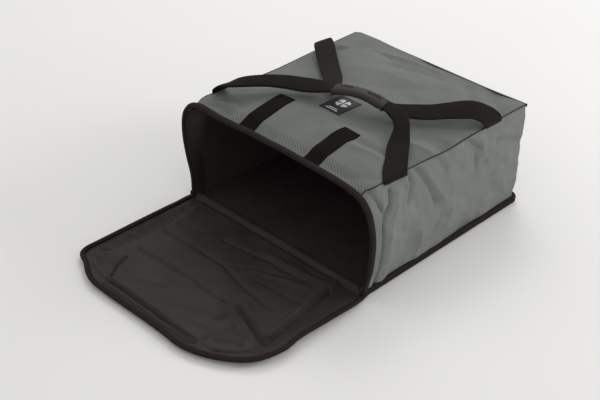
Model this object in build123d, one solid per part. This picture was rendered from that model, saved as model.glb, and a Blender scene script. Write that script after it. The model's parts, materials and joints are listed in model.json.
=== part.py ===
"""Front-opening insulated carrier for a stack of flat boxes, with its flap open on the floor.

Millimetres. +X is the carrier's right, +Y its back and +Z up. The origin is the middle of the
carrier's base, on the floor. The opening is at low Y and the flap lies in front of it.
"""

import os

from build123d import *

os.makedirs("parts", exist_ok=True)

# The bag's outer size. The plan narrows a little to the back.
DEPTH = 366.0
FRONT_WIDTH = 358.0
BACK_WIDTH = 344.0
SEAM_HEIGHT = 172.0
BACK_CORNER_RADIUS = 18.0
Y_FRONT = -DEPTH / 2
Y_BACK = DEPTH / 2

# Every panel is shell, foam and lining, with a little room between them.
SHELL = 1.2
FOAM = 7.6
LINING = 0.8
LAYER_GAP = 0.3
SHELL_SPAN = (0.0, SHELL)
FOAM_SPAN = (SHELL + LAYER_GAP, SHELL + LAYER_GAP + FOAM)
LINING_SPAN = (FOAM_SPAN[1] + LAYER_GAP, FOAM_SPAN[1] + LAYER_GAP + LINING)
LAYERS = {"shell": SHELL_SPAN, "foam": FOAM_SPAN, "lining": LINING_SPAN}
PANEL = LINING_SPAN[1]
PANEL_GAP = 0.4

# The top is crowned: (y, rise of its middle line above the side seams).
CROWN = [
    (Y_FRONT, 7.0),
    (-140.0, 14.5),
    (-85.0, 20.5),
    (-20.0, 17.0),
    (70.0, 11.0),
    (Y_BACK, 2.0),
]

# Binding tape round the opening and round the base.
OPENING_TAPE_WIDTH = 12.0
OPENING_TAPE_THICKNESS = 1.6
OPENING_CORNER_RADIUS = 42.0
BASE_TAPE_HEIGHT = 10.4
BASE_TAPE_THICKNESS = 5.0
BASE_TAPE_GAP = 0.3
TAPE_END = (8.0, 3.0, 6.0)

# Loop strips and the label on the top.
LOOP_STRIP_WIDTH = 30.0
LOOP_STRIP_LENGTH = 94.0
LOOP_STRIP_THICKNESS = 1.8
LOOP_STRIP_X = 66.0
LABEL_WIDTH = 40.0
LABEL_LENGTH = 52.0
LABEL_THICKNESS = 1.0
LABEL_CENTRE = (1.0, -45.0)
LABEL_MARK_RADIUS = 9.0
LABEL_MARK_THICKNESS = 0.5

# The flap is hinged at the front of the base, and its tip is hinged on the flap.
FLAP_HINGE_Y = Y_FRONT - 3.0
FLAP_LENGTH = 172.0
TIP_LENGTH = 88.0
TIP_HINGE_Y = FLAP_HINGE_Y - FLAP_LENGTH
FLAP_FAR_Y = TIP_HINGE_Y - TIP_LENGTH
FLAP_WIDTH = 368.0
FLAP_CHAMFER_X = 86.0
FLAP_CHAMFER_Y = 44.0
FLAP_BORDER = 24.0
FLAP_TAPE_WIDTH = 9.0
FLAP_TAPE_HEIGHT = 6.0
HINGE_GAP = 0.6
HOOK_TAPE = (187.0, 20.0, 1.6)
HOOK_TAPE_X = 3.5

# The two straps: webbing that is folded to half its width at the grip.
WEBBING_WIDTH = 50.0
WEBBING_THICKNESS = 1.8
FOLDED_WIDTH = 25.0
FOLDED_THICKNESS = 3.8
STRAP_ANCHOR_Y = {"front": -118.0, "rear": 112.0}
FRONT_STRAP_RISE = 10.0
BAR_TACK = (3.0, 40.0, 1.2)

# The grip: a rubber sleeve round both straps.
GRIP_CENTRE = Vector(27.0, -33.0, 208.0)
GRIP_TURN = 9.0
GRIP_LENGTH = 92.0
GRIP_WIDTH = 32.0
GRIP_HEIGHT = 19.0
GRIP_SLOT = (26.0, 8.8)
GRIP_RIB_COUNT = 5
GRIP_RIB_SPACING = 3.6
GRIP_RIB_OFFSET = 27.0
GRIP_RIB = (1.6, 22.0, 1.6)


def half_width(y):
    """Half the bag's outer width at y."""
    share = (y - Y_FRONT) / DEPTH
    return (FRONT_WIDTH + (BACK_WIDTH - FRONT_WIDTH) * share) / 2


def crown_at(y):
    """How far the middle of the top stands above the side seams at y."""
    for (y0, rise0), (y1, rise1) in zip(CROWN, CROWN[1:]):
        if y <= y1:
            return rise0 + (rise1 - rise0) * (y - y0) / (y1 - y0)
    return CROWN[-1][1]


def top_height(x, y):
    """The height of the top's outer face."""
    share = x / half_width(y)
    return SEAM_HEIGHT + crown_at(y) * (1 - share * share)


def save(shape, node):
    export_step(shape, f"parts/{node}.step")


def block(x0, x1, y0, y1, z0, z1):
    """A box between two corners."""
    return Pos((x0 + x1) / 2, (y0 + y1) / 2, (z0 + z1) / 2) * Box(x1 - x0, y1 - y0, z1 - z0)


def prism(points, z0, z1):
    """A plan outline raised from z0 to z1."""
    outline = make_face(Polyline(*points, close=True))
    return extrude(Pos(0, 0, z0) * outline, amount=z1 - z0)


def base_outline(inset):
    """The base's plan with rounded back corners, inset on the sides and the back."""
    front = half_width(Y_FRONT) - inset
    back = half_width(Y_BACK) - inset
    y_back = Y_BACK - inset
    corners = [(-front, Y_FRONT), (front, Y_FRONT), (back, y_back), (-back, y_back)]
    outline = make_face(Polyline(*corners, close=True))
    rear = outline.vertices().filter_by_position(Axis.Y, y_back - 1, y_back + 1)
    return fillet(rear, BACK_CORNER_RADIUS - inset)


def base_layer(span):
    """One layer of the base panel."""
    return extrude(Pos(0, 0, span[0]) * base_outline(0.0), amount=span[1] - span[0])


def side_layer(side, span):
    """One layer of a side panel, at side = -1 or 1. It stands on the base and stops at the back."""
    y_end = Y_BACK - PANEL - PANEL_GAP
    outer = [(side * (half_width(y) - span[0]), y) for y in (Y_FRONT, y_end)]
    inner = [(side * (half_width(y) - span[1]), y) for y in (y_end, Y_FRONT)]
    return prism(outer + inner, PANEL + PANEL_GAP, SEAM_HEIGHT - PANEL - PANEL_GAP)


def back_layer(span):
    """One layer of the back panel."""
    reach = half_width(Y_BACK)
    z_low = PANEL + PANEL_GAP
    z_high = SEAM_HEIGHT - PANEL - PANEL_GAP
    return block(-reach, reach, Y_BACK - span[1], Y_BACK - span[0], z_low, z_high)


def top_section(y, span):
    """The top panel's section at y: two crowned arcs and two short upright sides."""
    reach = half_width(y)
    rise = crown_at(y)
    high = SEAM_HEIGHT - span[0]
    low = SEAM_HEIGHT - span[1]
    upper = ThreePointArc((-reach, y, high), (0, y, high + rise), (reach, y, high))
    right = Line((reach, y, high), (reach, y, low))
    lower = ThreePointArc((reach, y, low), (0, y, low + rise), (-reach, y, low))
    left = Line((-reach, y, low), (-reach, y, high))
    return Face(Wire([upper, right, lower, left]))


def top_layer(span):
    """One layer of the crowned top panel."""
    return Solid.make_loft([top_section(y, span).outer_wire() for y, _ in CROWN], ruled=True)


def arch(inset, y):
    """The opening's outline at y, on the floor at its foot and rounded at its top corners."""
    reach = half_width(Y_FRONT) - inset
    shoulder = SEAM_HEIGHT - inset
    radius = OPENING_CORNER_RADIUS - inset
    slope = radius * (1 - 0.5**0.5)
    corner = (reach - slope, shoulder - slope)
    lines = [
        Line((-reach, y, 0), (reach, y, 0)),
        Line((reach, y, 0), (reach, y, shoulder - radius)),
        ThreePointArc(
            (reach, y, shoulder - radius),
            (corner[0], y, corner[1]),
            (reach - radius, y, shoulder),
        ),
        ThreePointArc(
            (reach - radius, y, shoulder),
            (0, y, shoulder + CROWN[0][1]),
            (radius - reach, y, shoulder),
        ),
        ThreePointArc(
            (radius - reach, y, shoulder),
            (-corner[0], y, corner[1]),
            (-reach, y, shoulder - radius),
        ),
        Line((-reach, y, shoulder - radius), (-reach, y, 0)),
    ]
    return Face(Wire(lines))


def opening_binding():
    """The tape frame on the opening's edge: two legs and the arch over them."""
    y = Y_FRONT - PANEL_GAP
    outer = extrude(arch(0.0, y), amount=OPENING_TAPE_THICKNESS, dir=(0, -1, 0))
    inner = extrude(arch(OPENING_TAPE_WIDTH, y + 1), amount=OPENING_TAPE_THICKNESS + 2, dir=(0, -1, 0))
    foot_room = block(-FRONT_WIDTH, FRONT_WIDTH, y - 5, y + 5, -1, PANEL)
    return outer - inner - foot_room


def base_binding():
    """The bound seam round the base's right, back and left edges."""
    grown = base_outline(-BASE_TAPE_THICKNESS - BASE_TAPE_GAP)
    bare = base_outline(-BASE_TAPE_GAP)
    ring = extrude(grown, amount=BASE_TAPE_HEIGHT) - extrude(bare, amount=BASE_TAPE_HEIGHT)
    front_room = block(-FRONT_WIDTH, FRONT_WIDTH, Y_FRONT - 20, Y_FRONT, -1, BASE_TAPE_HEIGHT + 1)
    return ring - front_room


def corner_tape_end():
    """The folded end of the seam tape at the top right back corner."""
    length, thickness, height = TAPE_END
    x_high = half_width(Y_BACK)
    y_low = Y_BACK + PANEL_GAP
    z_high = SEAM_HEIGHT
    return block(x_high - length, x_high, y_low, y_low + thickness, z_high - height, z_high)


def on_top(x, width, y0, y1, lift, thickness):
    """A strip that follows the crown along Y, clear of it by lift."""
    nearest = max(0.0, abs(x) - width / 2)
    stations = [y0] + [y for y, _ in CROWN if y0 < y < y1] + [y1]
    low = [(y, top_height(nearest, y) + lift) for y in stations]
    high = [(y, z + thickness) for y, z in reversed(low)]
    outline = make_face(Polyline(*[(x - width / 2, y, z) for y, z in low + high], close=True))
    return extrude(outline, amount=width, dir=(1, 0, 0))


def loop_strip(side):
    """The soft half of the hook-and-loop closure, on the left or right of the top."""
    y0 = Y_FRONT + 1.0
    y1 = y0 + LOOP_STRIP_LENGTH
    return on_top(side * LOOP_STRIP_X, LOOP_STRIP_WIDTH, y0, y1, PANEL_GAP, LOOP_STRIP_THICKNESS)


def label_patch():
    """The woven label."""
    x, y = LABEL_CENTRE
    half = LABEL_LENGTH / 2
    return on_top(x, LABEL_WIDTH, y - half, y + half, PANEL_GAP, LABEL_THICKNESS)


def label_mark():
    """A plain disc that stands for the mark woven into the label."""
    x, y = LABEL_CENTRE
    z = max(top_height(0, y - LABEL_MARK_RADIUS), top_height(0, y + LABEL_MARK_RADIUS))
    z += 3 * PANEL_GAP + LABEL_THICKNESS
    disc = Cylinder(LABEL_MARK_RADIUS, LABEL_MARK_THICKNESS, align=(Align.CENTER, Align.CENTER, Align.MIN))
    return Pos(x, y, z) * disc


def flap_outline(inset):
    """The whole flap's plan, hinge to far edge, inset on its three free sides."""
    reach = FLAP_WIDTH / 2 - inset
    far = FLAP_FAR_Y + inset
    corner_y = FLAP_FAR_Y + FLAP_CHAMFER_Y + inset * 0.4
    corner_x = FLAP_WIDTH / 2 - FLAP_CHAMFER_X - inset * 0.3
    points = [
        (-reach, FLAP_HINGE_Y),
        (-reach, corner_y),
        (-corner_x, far),
        (corner_x, far),
        (reach, corner_y),
        (reach, FLAP_HINGE_Y),
    ]
    return make_face(Polyline(*points, close=True))


def flap_slab(inset, z0, z1, y0, y1):
    """The part of the flap's outline between y0 and y1, raised from z0 to z1."""
    slab = extrude(Pos(0, 0, z0) * flap_outline(inset), amount=z1 - z0)
    return slab & block(-FLAP_WIDTH, FLAP_WIDTH, y0, y1, z0, z1)


def flap_piece(part, y0, y1):
    """Shell, foam or lining of the stretch of flap from y0 to y1."""
    span = LAYERS[part]
    inset = 0.0 if part == "shell" else FLAP_BORDER
    return flap_slab(inset, span[0], span[1], y0, y1)


def flap_tape(y0, y1):
    """The bound edge of the flap between y0 and y1, standing on the shell."""
    low = SHELL + LAYER_GAP
    outer = flap_slab(0.0, low, FLAP_TAPE_HEIGHT, y0, y1)
    inner = flap_slab(FLAP_TAPE_WIDTH, low, FLAP_TAPE_HEIGHT, y0 - 1, y1 + 1)
    return outer - inner


def hook_tape():
    """The hook half of the closure, along the tip's far edge, on its inside."""
    length, width, thickness = HOOK_TAPE
    y0 = FLAP_FAR_Y + FLAP_TAPE_WIDTH + 1.0
    y1 = min(y0 + width, FLAP_FAR_Y + FLAP_BORDER - 0.5)
    z0 = SHELL + LAYER_GAP
    x0 = HOOK_TAPE_X - length / 2
    return block(x0, x0 + length, y0, y1, z0, z0 + thickness)


def grip_frame(along):
    """A plane across the grip, along mm from its centre towards its right end."""
    direction = Vector(1, 0, 0).rotate(Axis.Z, GRIP_TURN)
    across = Vector(0, 1, 0).rotate(Axis.Z, GRIP_TURN)
    return Plane(origin=GRIP_CENTRE + direction * along, x_dir=across, z_dir=direction)


def grip_bar(start, length, width, height, radius, lift=0.0):
    """A straight bar of rounded section in the grip's direction."""
    section = grip_frame(start) * Pos(0, lift) * RectangleRounded(width, height, radius)
    return extrude(section, amount=length)


def grip_sleeve():
    """The rubber sleeve with its slot for the straps and its ribs on top."""
    start = -GRIP_LENGTH / 2
    body = grip_bar(start, GRIP_LENGTH, GRIP_WIDTH, GRIP_HEIGHT, GRIP_HEIGHT / 2 - 0.5)
    slot = grip_bar(start - 1, GRIP_LENGTH + 2, GRIP_SLOT[0], GRIP_SLOT[1], 1.5)
    sleeve = body - slot
    width, length, height = GRIP_RIB
    for end in (-1, 1):
        for i in range(GRIP_RIB_COUNT):
            at = end * GRIP_RIB_OFFSET + (i - (GRIP_RIB_COUNT - 1) / 2) * GRIP_RIB_SPACING
            lift = GRIP_HEIGHT / 2 + height / 2 - 0.4
            sleeve += grip_bar(at - width / 2, width, length, height, 0.6, lift)
    return sleeve


def grip_strap(level):
    """The stretch of one folded strap that runs through the grip, at level = -1 or 1."""
    lift = level * (FOLDED_THICKNESS / 2 + 0.2)
    start = -GRIP_LENGTH / 2 + 0.5
    return grip_bar(start, GRIP_LENGTH - 1, FOLDED_WIDTH, FOLDED_THICKNESS, 0.6, lift)


def strap_section(centre, across, width, thickness):
    """A strap's section: its middle, the direction of its width, and its size."""
    side = Vector(*across).normalized() * (width / 2)
    rise = Vector(0, 0, thickness / 2)
    centre = Vector(*centre)
    corners = [centre - side - rise, centre + side - rise, centre + side + rise, centre - side + rise]
    return Wire.make_polygon(corners, close=True)


def strap_arm(end, side):
    """One strap arm, from the side seam (side = -1 or 1) to the grip's end on that side."""
    y_anchor = STRAP_ANCHOR_Y[end]
    level = 1 if end == "front" else -1
    direction = Vector(1, 0, 0).rotate(Axis.Z, GRIP_TURN)
    across = Vector(0, 1, 0).rotate(Axis.Z, GRIP_TURN)
    lift = Vector(0, 0, level * (FOLDED_THICKNESS / 2 + 0.2))
    grip_end = GRIP_CENTRE + direction * (side * (GRIP_LENGTH / 2 + 0.8)) + lift
    seam_x = side * (half_width(y_anchor) - 2.0)
    seam = Vector(seam_x, y_anchor, SEAM_HEIGHT + 2.0)
    sections = [strap_section(seam, (0, 1, 0), WEBBING_WIDTH, WEBBING_THICKNESS)]
    for share, width, thickness, clear in ((0.2, 44.0, 2.2, 9.0), (0.55, 32.0, 3.0, 7.0)):
        middle = seam + (grip_end - seam) * share
        height = max(middle.Z, top_height(middle.X, middle.Y) + clear)
        if end == "front":
            height += FRONT_STRAP_RISE * share
        point = Vector(middle.X, middle.Y, height)
        turned = Vector(0, 1, 0) * (1 - share) + across * share
        sections.append(strap_section(point, turned, width, thickness))
    sections.append(strap_section(grip_end, across, FOLDED_WIDTH, FOLDED_THICKNESS))
    return Solid.make_loft(sections, ruled=True)


def bar_tacks():
    """The stitched bars that fasten the four strap ends at the side seams."""
    length, width, height = BAR_TACK
    tacks = []
    for y in STRAP_ANCHOR_Y.values():
        for side in (-1, 1):
            x = side * (half_width(y) + PANEL_GAP + length / 2)
            z0 = SEAM_HEIGHT - 2.0
            tacks.append(block(x - length / 2, x + length / 2, y - width / 2, y + width / 2, z0, z0 + height))
    return Compound(children=tacks)


def save_bag():
    for part, span in LAYERS.items():
        save(base_layer(span), f"base_{part}")
        save(side_layer(-1, span), f"left_side_{part}")
        save(side_layer(1, span), f"right_side_{part}")
        save(back_layer(span), f"back_{part}")
        save(top_layer(span), f"top_{part}")
    save(opening_binding(), "opening_binding")
    save(base_binding(), "base_binding")
    save(corner_tape_end(), "corner_tape_end")
    save(loop_strip(-1), "loop_strip_left")
    save(loop_strip(1), "loop_strip_right")
    save(label_patch(), "label_patch")
    save(label_mark(), "label_mark")


def save_flap():
    front = (TIP_HINGE_Y + HINGE_GAP, FLAP_HINGE_Y - HINGE_GAP)
    tip = (FLAP_FAR_Y, TIP_HINGE_Y - HINGE_GAP)
    for part in LAYERS:
        save(flap_piece(part, *front), f"flap_{part}")
        save(flap_piece(part, *tip), f"tip_{part}")
    edges = flap_tape(*front)
    save(edges.solids().sort_by(Axis.X)[0], "flap_binding_left")
    save(edges.solids().sort_by(Axis.X)[-1], "flap_binding_right")
    save(flap_tape(*tip), "tip_binding")
    save(hook_tape(), "tip_hook_tape")


def save_handle():
    for end in STRAP_ANCHOR_Y:
        save(strap_arm(end, -1), f"strap_{end}_left")
        save(strap_arm(end, 1), f"strap_{end}_right")
    save(bar_tacks(), "strap_bar_tacks")
    save(grip_sleeve(), "grip_sleeve")
    save(grip_strap(1), "grip_strap_front")
    save(grip_strap(-1), "grip_strap_rear")


save_bag()
save_flap()
save_handle()
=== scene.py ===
"""The looks of the insulated food carrier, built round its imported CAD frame.

Points are worked out in millimetres in the CAD frame: +X is the carrier's right, +Y its back, +Z up,
and the flap lies in front, at low Y. Meshes are made from them in metres.
"""

import json
import math

import bpy
import numpy as np
from mathutils import Matrix, Vector


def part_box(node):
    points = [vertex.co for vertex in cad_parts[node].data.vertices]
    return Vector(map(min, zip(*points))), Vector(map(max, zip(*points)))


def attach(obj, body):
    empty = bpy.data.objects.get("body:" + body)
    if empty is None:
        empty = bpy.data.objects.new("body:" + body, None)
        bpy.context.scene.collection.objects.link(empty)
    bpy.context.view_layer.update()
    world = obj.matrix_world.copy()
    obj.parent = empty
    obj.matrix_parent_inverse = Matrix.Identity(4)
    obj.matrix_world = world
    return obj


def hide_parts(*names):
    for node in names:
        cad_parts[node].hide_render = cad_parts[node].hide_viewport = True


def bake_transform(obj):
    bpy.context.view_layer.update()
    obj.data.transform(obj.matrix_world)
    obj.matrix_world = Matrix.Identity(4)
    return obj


MM = 0.001
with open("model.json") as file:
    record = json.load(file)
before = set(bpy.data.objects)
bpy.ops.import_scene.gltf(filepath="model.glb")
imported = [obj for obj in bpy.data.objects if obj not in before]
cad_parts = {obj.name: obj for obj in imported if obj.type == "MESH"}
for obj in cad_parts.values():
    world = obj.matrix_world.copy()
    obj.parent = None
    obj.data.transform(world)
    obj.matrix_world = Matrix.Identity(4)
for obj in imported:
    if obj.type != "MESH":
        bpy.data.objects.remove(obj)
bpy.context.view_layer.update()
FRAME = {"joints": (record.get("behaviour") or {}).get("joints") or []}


def cad_box(node):
    """A CAD node's lowest and highest corners in millimetres."""
    low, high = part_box(node)
    return np.array(low) / MM, np.array(high) / MM


def joint_pivot(name):
    """A joint's place in millimetres."""
    joint = next(j for j in FRAME["joints"] if j["name"] == name)
    return np.array(joint["pos_m"]) / MM


# Sizes read from the CAD frame.
Y_FRONT = cad_box("base_shell")[0][1]
Y_BACK = cad_box("base_shell")[1][1]
HALF_FRONT = cad_box("right_side_shell")[1][0]
HALF_BACK = cad_box("back_shell")[1][0]
# A panel is a shell, foam and a lining: PANEL is its whole thickness.
SHELL = cad_box("base_shell")[1][2] - cad_box("base_shell")[0][2]
SEAM_Z = cad_box("top_shell")[0][2] + SHELL
FOAM_SPAN = (cad_box("base_foam")[0][2], cad_box("base_foam")[1][2])
LINING_SPAN = (cad_box("base_lining")[0][2], cad_box("base_lining")[1][2])
PANEL = LINING_SPAN[1]
FLAP_HINGE_Y = joint_pivot("flap_hinge")[1]
TIP_HINGE_Y = joint_pivot("tip_hinge")[1]
FLAP_FAR_Y = cad_box("tip_shell")[0][1]
FLAP_HALF = cad_box("flap_shell")[1][0]
FLAP_SPLIT_Y = (FLAP_HINGE_Y + TIP_HINGE_Y) / 2

# The bag's outline and the run of its seams.
CORNER_RADIUS = 8.0
CROWN_Y = (Y_FRONT, -150.0, -120.0, -92.0, -70.0, -20.0, 60.0, 130.0, Y_BACK)
CROWN_RISE = (4.0, 11.5, 17.5, 20.0, 19.0, 16.0, 11.0, 6.0, -0.5)
# How flat the crown is across, and how soon it rises from the back seam.
CROWN_SQUARENESS = 2.8
CROWN_BACK_REACH = 9.0
SEAM_Y = (Y_FRONT, -160.0, -95.0, -45.0, 0.0, 45.0, 92.0, 140.0, Y_BACK)
SEAM_DIP_RIGHT = (2.5, 2.5, -1.0, -3.5, -5.0, -2.0, 0.0, 2.0, 3.5)
SEAM_DIP_LEFT = (0.5, 0.5, -1.5, -4.5, -5.0, -3.0, -1.0, 0.0, 1.0)
# How far the right seam is drawn inwards.
SEAM_TUCK_RIGHT = (3.0, 3.5, 6.0, 6.0, 3.5, 2.0, 0.0, 0.0, 0.0)

# The opening's rim from each foot up to its seam: (out from the CAD's edge, height).
RIM_LEFT = [
    (-6, 4), (-6, 26), (-4, 46), (1, 62), (7, 78),
    (12, 97), (14, 116), (14, 134), (11, 149), (6, 158),
]
RIM_RIGHT = [
    (1, 4), (5, 16), (9, 34), (13, 52), (15, 72), (16, 92),
    (15, 110), (11, 128), (4, 145), (-8, 159), (-15, 163.2),
]
# Over the top, from the left seam to the right one: (x, height over the seam height).
RIM_TOP = [
    (-HALF_FRONT - 6, -14.0),
    (-HALF_FRONT - 1, -8.0),
    (-HALF_FRONT + 10, -3.4),
    (-120.0, -2.4),
    (-50.0, -0.4),
    (30.0, 0.4),
    (95.0, -0.8),
    (128.0, -2.4),
    (148.0, -5.0),
    (HALF_FRONT - 15, -8.8),
]
# How far the walls belly out: the back, the sides, and the sides' added swell behind the opening.
BELLY_BACK = 4.0
BELLY_SIDE = 3.0
BELLY_FRONT = 11.0
# How far behind the opening the panels still follow its rim.
RIM_REACH = 30.0
# The lining meets the shell at the opening, under its binding.
RIM_LINING_DEPTH = 1.7
LINING_THICKNESS = 0.8
# The deepest that folds may dip into a panel's foam.
TOP_FOLD_LIMIT = 6.4
SIDE_FOLD_LIMIT = 7.6
# The groove along each top seam.
SEAM_GROOVE = 2.4
SEAM_GROOVE_WIDTH = 2.0
# The top right back corner is pulled outwards.
CORNER_PULL = 5.0
CORNER_PULL_REACH = 42.0


def smoothstep(start, end, value):
    """0 before start, 1 after end, and a smooth rise between them."""
    share = np.clip((np.asarray(value, float) - start) / (end - start), 0, 1)
    return share * share * (3 - 2 * share)


def smooth_curve(stations, values, at):
    """A smooth line through values at the given stations, read at the places in at."""
    stations = np.asarray(stations, float)
    values = np.asarray(values, float)
    slopes = np.gradient(values, stations, axis=0)
    at = np.clip(at, stations[0], stations[-1])
    i = np.clip(np.searchsorted(stations, at, side="right") - 1, 0, len(stations) - 2)
    gap = stations[i + 1] - stations[i]
    t = (at - stations[i]) / gap
    if values.ndim > 1:
        gap = gap[..., None]
        t = t[..., None]
    start = (2 * t**3 - 3 * t**2 + 1) * values[i] + (t**3 - 2 * t**2 + t) * gap * slopes[i]
    end = (3 * t**2 - 2 * t**3) * values[i + 1] + (t**3 - t**2) * gap * slopes[i + 1]
    return start + end


def run_lengths(points):
    """The distance along a line of points, from its start."""
    steps = np.linalg.norm(np.diff(points, axis=0), axis=1)
    return np.concatenate([[0.0], np.cumsum(steps)])


def hump(distance, width):
    """1 at no distance, and next to nothing two widths away."""
    return np.exp(-((distance / width) ** 2))


def bunched(count):
    """Numbers from -1 to 1, closer together at both ends."""
    return np.sin(np.linspace(-1, 1, count) * math.pi / 2)


def unit(vectors):
    """Vectors made one long."""
    return vectors / np.linalg.norm(vectors, axis=1, keepdims=True)


def directions(path):
    """The direction of a path at each of its points."""
    return unit(np.gradient(path, axis=0))


def along(points, shares):
    """Points at shares (0 to 1) of the length of a smooth line through the given points."""
    points = np.asarray(points, float)
    lengths = run_lengths(points)
    fine = smooth_curve(lengths, points, np.linspace(0, lengths[-1], 40 * len(points)))
    lengths = run_lengths(fine)
    at = np.asarray(shares) * lengths[-1]
    return np.stack([np.interp(at, lengths, fine[:, k]) for k in range(points.shape[1])], -1)


def cloth_noise(x, y, size, seed):
    """Smooth random values from -1 to 1 over x and y, with features of about the given size."""
    cells = 64
    lattice = np.random.default_rng(seed).uniform(-1, 1, (cells, cells))
    gx = np.asarray(x, float) / size
    gy = np.asarray(y, float) / size
    ix = np.floor(gx).astype(int)
    iy = np.floor(gy).astype(int)
    fx = smoothstep(0, 1, gx - ix)
    fy = smoothstep(0, 1, gy - iy)

    def corner(i, j):
        return lattice[(ix + i) % cells, (iy + j) % cells]

    low = corner(0, 0) * (1 - fx) + corner(1, 0) * fx
    high = corner(0, 1) * (1 - fx) + corner(1, 1) * fx
    return low * (1 - fy) + high * fy


def fold(x, y, line, width, height, power=1.5):
    """A soft fold along a line of (x, y) points, up by height or down where height is negative."""
    nearest = np.full(np.shape(x), 1e9)
    for (x0, y0), (x1, y1) in zip(line, line[1:]):
        dx = x1 - x0
        dy = y1 - y0
        t = np.clip(((x - x0) * dx + (y - y0) * dy) / (dx * dx + dy * dy), 0, 1)
        nearest = np.minimum(nearest, np.hypot(x - x0 - t * dx, y - y0 - t * dy))
    return height * np.exp(-((nearest / width) ** power))


def folds(x, y, rows, power=1.5):
    """The sum of several folds, each (line, width, height); a lower power makes sharper creases."""
    return sum(fold(x, y, line, width, height, power) for line, width, height in rows)


def no_deeper(height, limit):
    """Heights that dip at most by the limit."""
    return np.where(height < 0, -limit * np.tanh(-height / limit), height)


def edged(start, end, step, edge=6.0, fine=1.2):
    """Stations from start to end about a step apart, closer together near both ends."""
    inner = np.linspace(start + edge, end - edge, max(2, round((end - start - 2 * edge) / step)))
    first = np.linspace(start, start + edge, round(edge / fine), endpoint=False)
    last = np.linspace(end, end - edge, round(edge / fine), endpoint=False)[::-1]
    return np.concatenate([first, inner, last])


def normals(grid):
    """Unit normals of a grid of points (rows, columns, 3)."""
    by_row = np.gradient(grid, axis=0)
    by_column = np.gradient(grid, axis=1)
    cross = np.cross(by_column, by_row)
    return cross / np.maximum(np.linalg.norm(cross, axis=-1, keepdims=True), 1e-9)


def new_object(name, points, faces, face_uv, material):
    """A smooth-shaded mesh object; points in millimetres, and one UV pair in metres per face corner."""
    mesh = bpy.data.meshes.new(name)
    mesh.from_pydata((np.asarray(points) * MM).tolist(), [], faces)
    layer = mesh.uv_layers.new(name="UVMap")
    layer.data.foreach_set("uv", np.asarray(face_uv, np.float32).ravel())
    mesh.polygons.foreach_set("use_smooth", np.ones(len(mesh.polygons), bool))
    mesh.set_sharp_from_angle(angle=math.radians(50))
    mesh.materials.append(material)
    obj = bpy.data.objects.new(name, mesh)
    bpy.context.scene.collection.objects.link(obj)
    return obj


def quads(rows, columns, offset=0, flip=False):
    """Corner numbers of the faces of a grid, as an array of fours."""
    r, c = np.meshgrid(np.arange(rows - 1), np.arange(columns - 1), indexing="ij")
    first = offset + (r * columns + c).ravel()
    faces = np.stack([first, first + 1, first + columns + 1, first + columns], -1)
    return faces[:, ::-1] if flip else faces


def rim_numbers(rows, columns):
    """The numbers of a grid's edge points, in order round it."""
    top = np.arange(columns)
    right = np.arange(1, rows) * columns + columns - 1
    bottom = (rows - 1) * columns + np.arange(columns - 2, -1, -1)
    left = np.arange(rows - 2, 0, -1) * columns
    return np.concatenate([top, right, bottom, left])


def slab(name, outer, inner, uv, material):
    """A closed sheet between two grids of points, with its rim."""
    if np.sum(normals(outer) * (outer - inner)) < 0:
        outer, inner, uv = outer[:, ::-1], inner[:, ::-1], uv[:, ::-1]
    rows, columns = outer.shape[:2]
    count = rows * columns
    points = np.concatenate([outer.reshape(-1, 3), inner.reshape(-1, 3)])
    rim = rim_numbers(rows, columns)
    after = np.roll(rim, -1)
    edge = np.stack([after, rim, rim + count, after + count], -1)
    faces = np.concatenate([quads(rows, columns), quads(rows, columns, count, True), edge])
    flat_uv = np.concatenate([uv.reshape(-1, 2), uv.reshape(-1, 2)]) * MM
    return new_object(name, points, faces.tolist(), flat_uv[faces.ravel()], material)


def outward(grid):
    """Unit normals of a grid that point away from the middle of the bag."""
    facing = normals(grid)
    from_middle = grid - np.array([0.0, 0.0, SEAM_Z / 2])
    return facing * np.sign(np.sum(facing * from_middle))


def tube_faces(first, rings, around):
    """The faces of a capped tube whose points start at number first, ring by ring."""
    faces = []
    for ring in range(rings - 1):
        start = first + ring * around
        for j in range(around):
            k = (j + 1) % around
            faces.append([start + j, start + k, start + around + k, start + around + j])
    last = first + (rings - 1) * around
    faces.append([first + j for j in range(around - 1, -1, -1)])
    faces.append([last + j for j in range(around)])
    return faces


def dressed(obj, slot, body, *nodes):
    """Hangs a piece on the body it rides on and hides the CAD nodes that it stands for; its slot is not used.
    """
    if nodes:
        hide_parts(*nodes)
    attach(obj, body)


def tube(name, rings, material, capped=True):
    """A skin over rings of points (rings, points, 3), with UVs along and round it; where it isn't
    capped, its last ring has to be its first."""
    count, around = rings.shape[:2]
    lengths = run_lengths(rings.mean(axis=1))
    girth = run_lengths(np.concatenate([rings[0], rings[0][:1]]))
    faces = tube_faces(0, count, around)
    face_uv = []
    for i in range(count - 1):
        for j in range(around):
            face_uv += [(lengths[i], girth[j]), (lengths[i], girth[j + 1])]
            face_uv += [(lengths[i + 1], girth[j + 1]), (lengths[i + 1], girth[j])]
    if capped:
        face_uv += [(p[0], p[2]) for p in (*rings[0][::-1], *rings[-1])]
    else:
        faces = faces[:-2]
    return new_object(name, rings.reshape(-1, 3), faces, np.array(face_uv) * MM, material)


def bead(name, path, side, section, material):
    """A tape rolled over an edge: a section (a, b) swept along a path, a along side and b across it."""
    direction = directions(path)
    side = unit(side - direction * np.sum(side * direction, axis=1, keepdims=True))
    across = np.cross(direction, side)
    a, b = section.T
    rings = path[:, None] + side[:, None] * a[None, :, None] + across[:, None] * b[None, :, None]
    return tube(name, rings, material)


def oval(width, height, count=14, squareness=2.6):
    """A rounded section, between an ellipse and a rectangle."""
    angle = np.linspace(0, 2 * math.pi, count, endpoint=False)
    c = np.cos(angle)
    s = np.sin(angle)
    a = np.sign(c) * np.abs(c) ** (2 / squareness) * width / 2
    b = np.sign(s) * np.abs(s) ** (2 / squareness) * height / 2
    return np.stack([a, b], -1)


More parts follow.
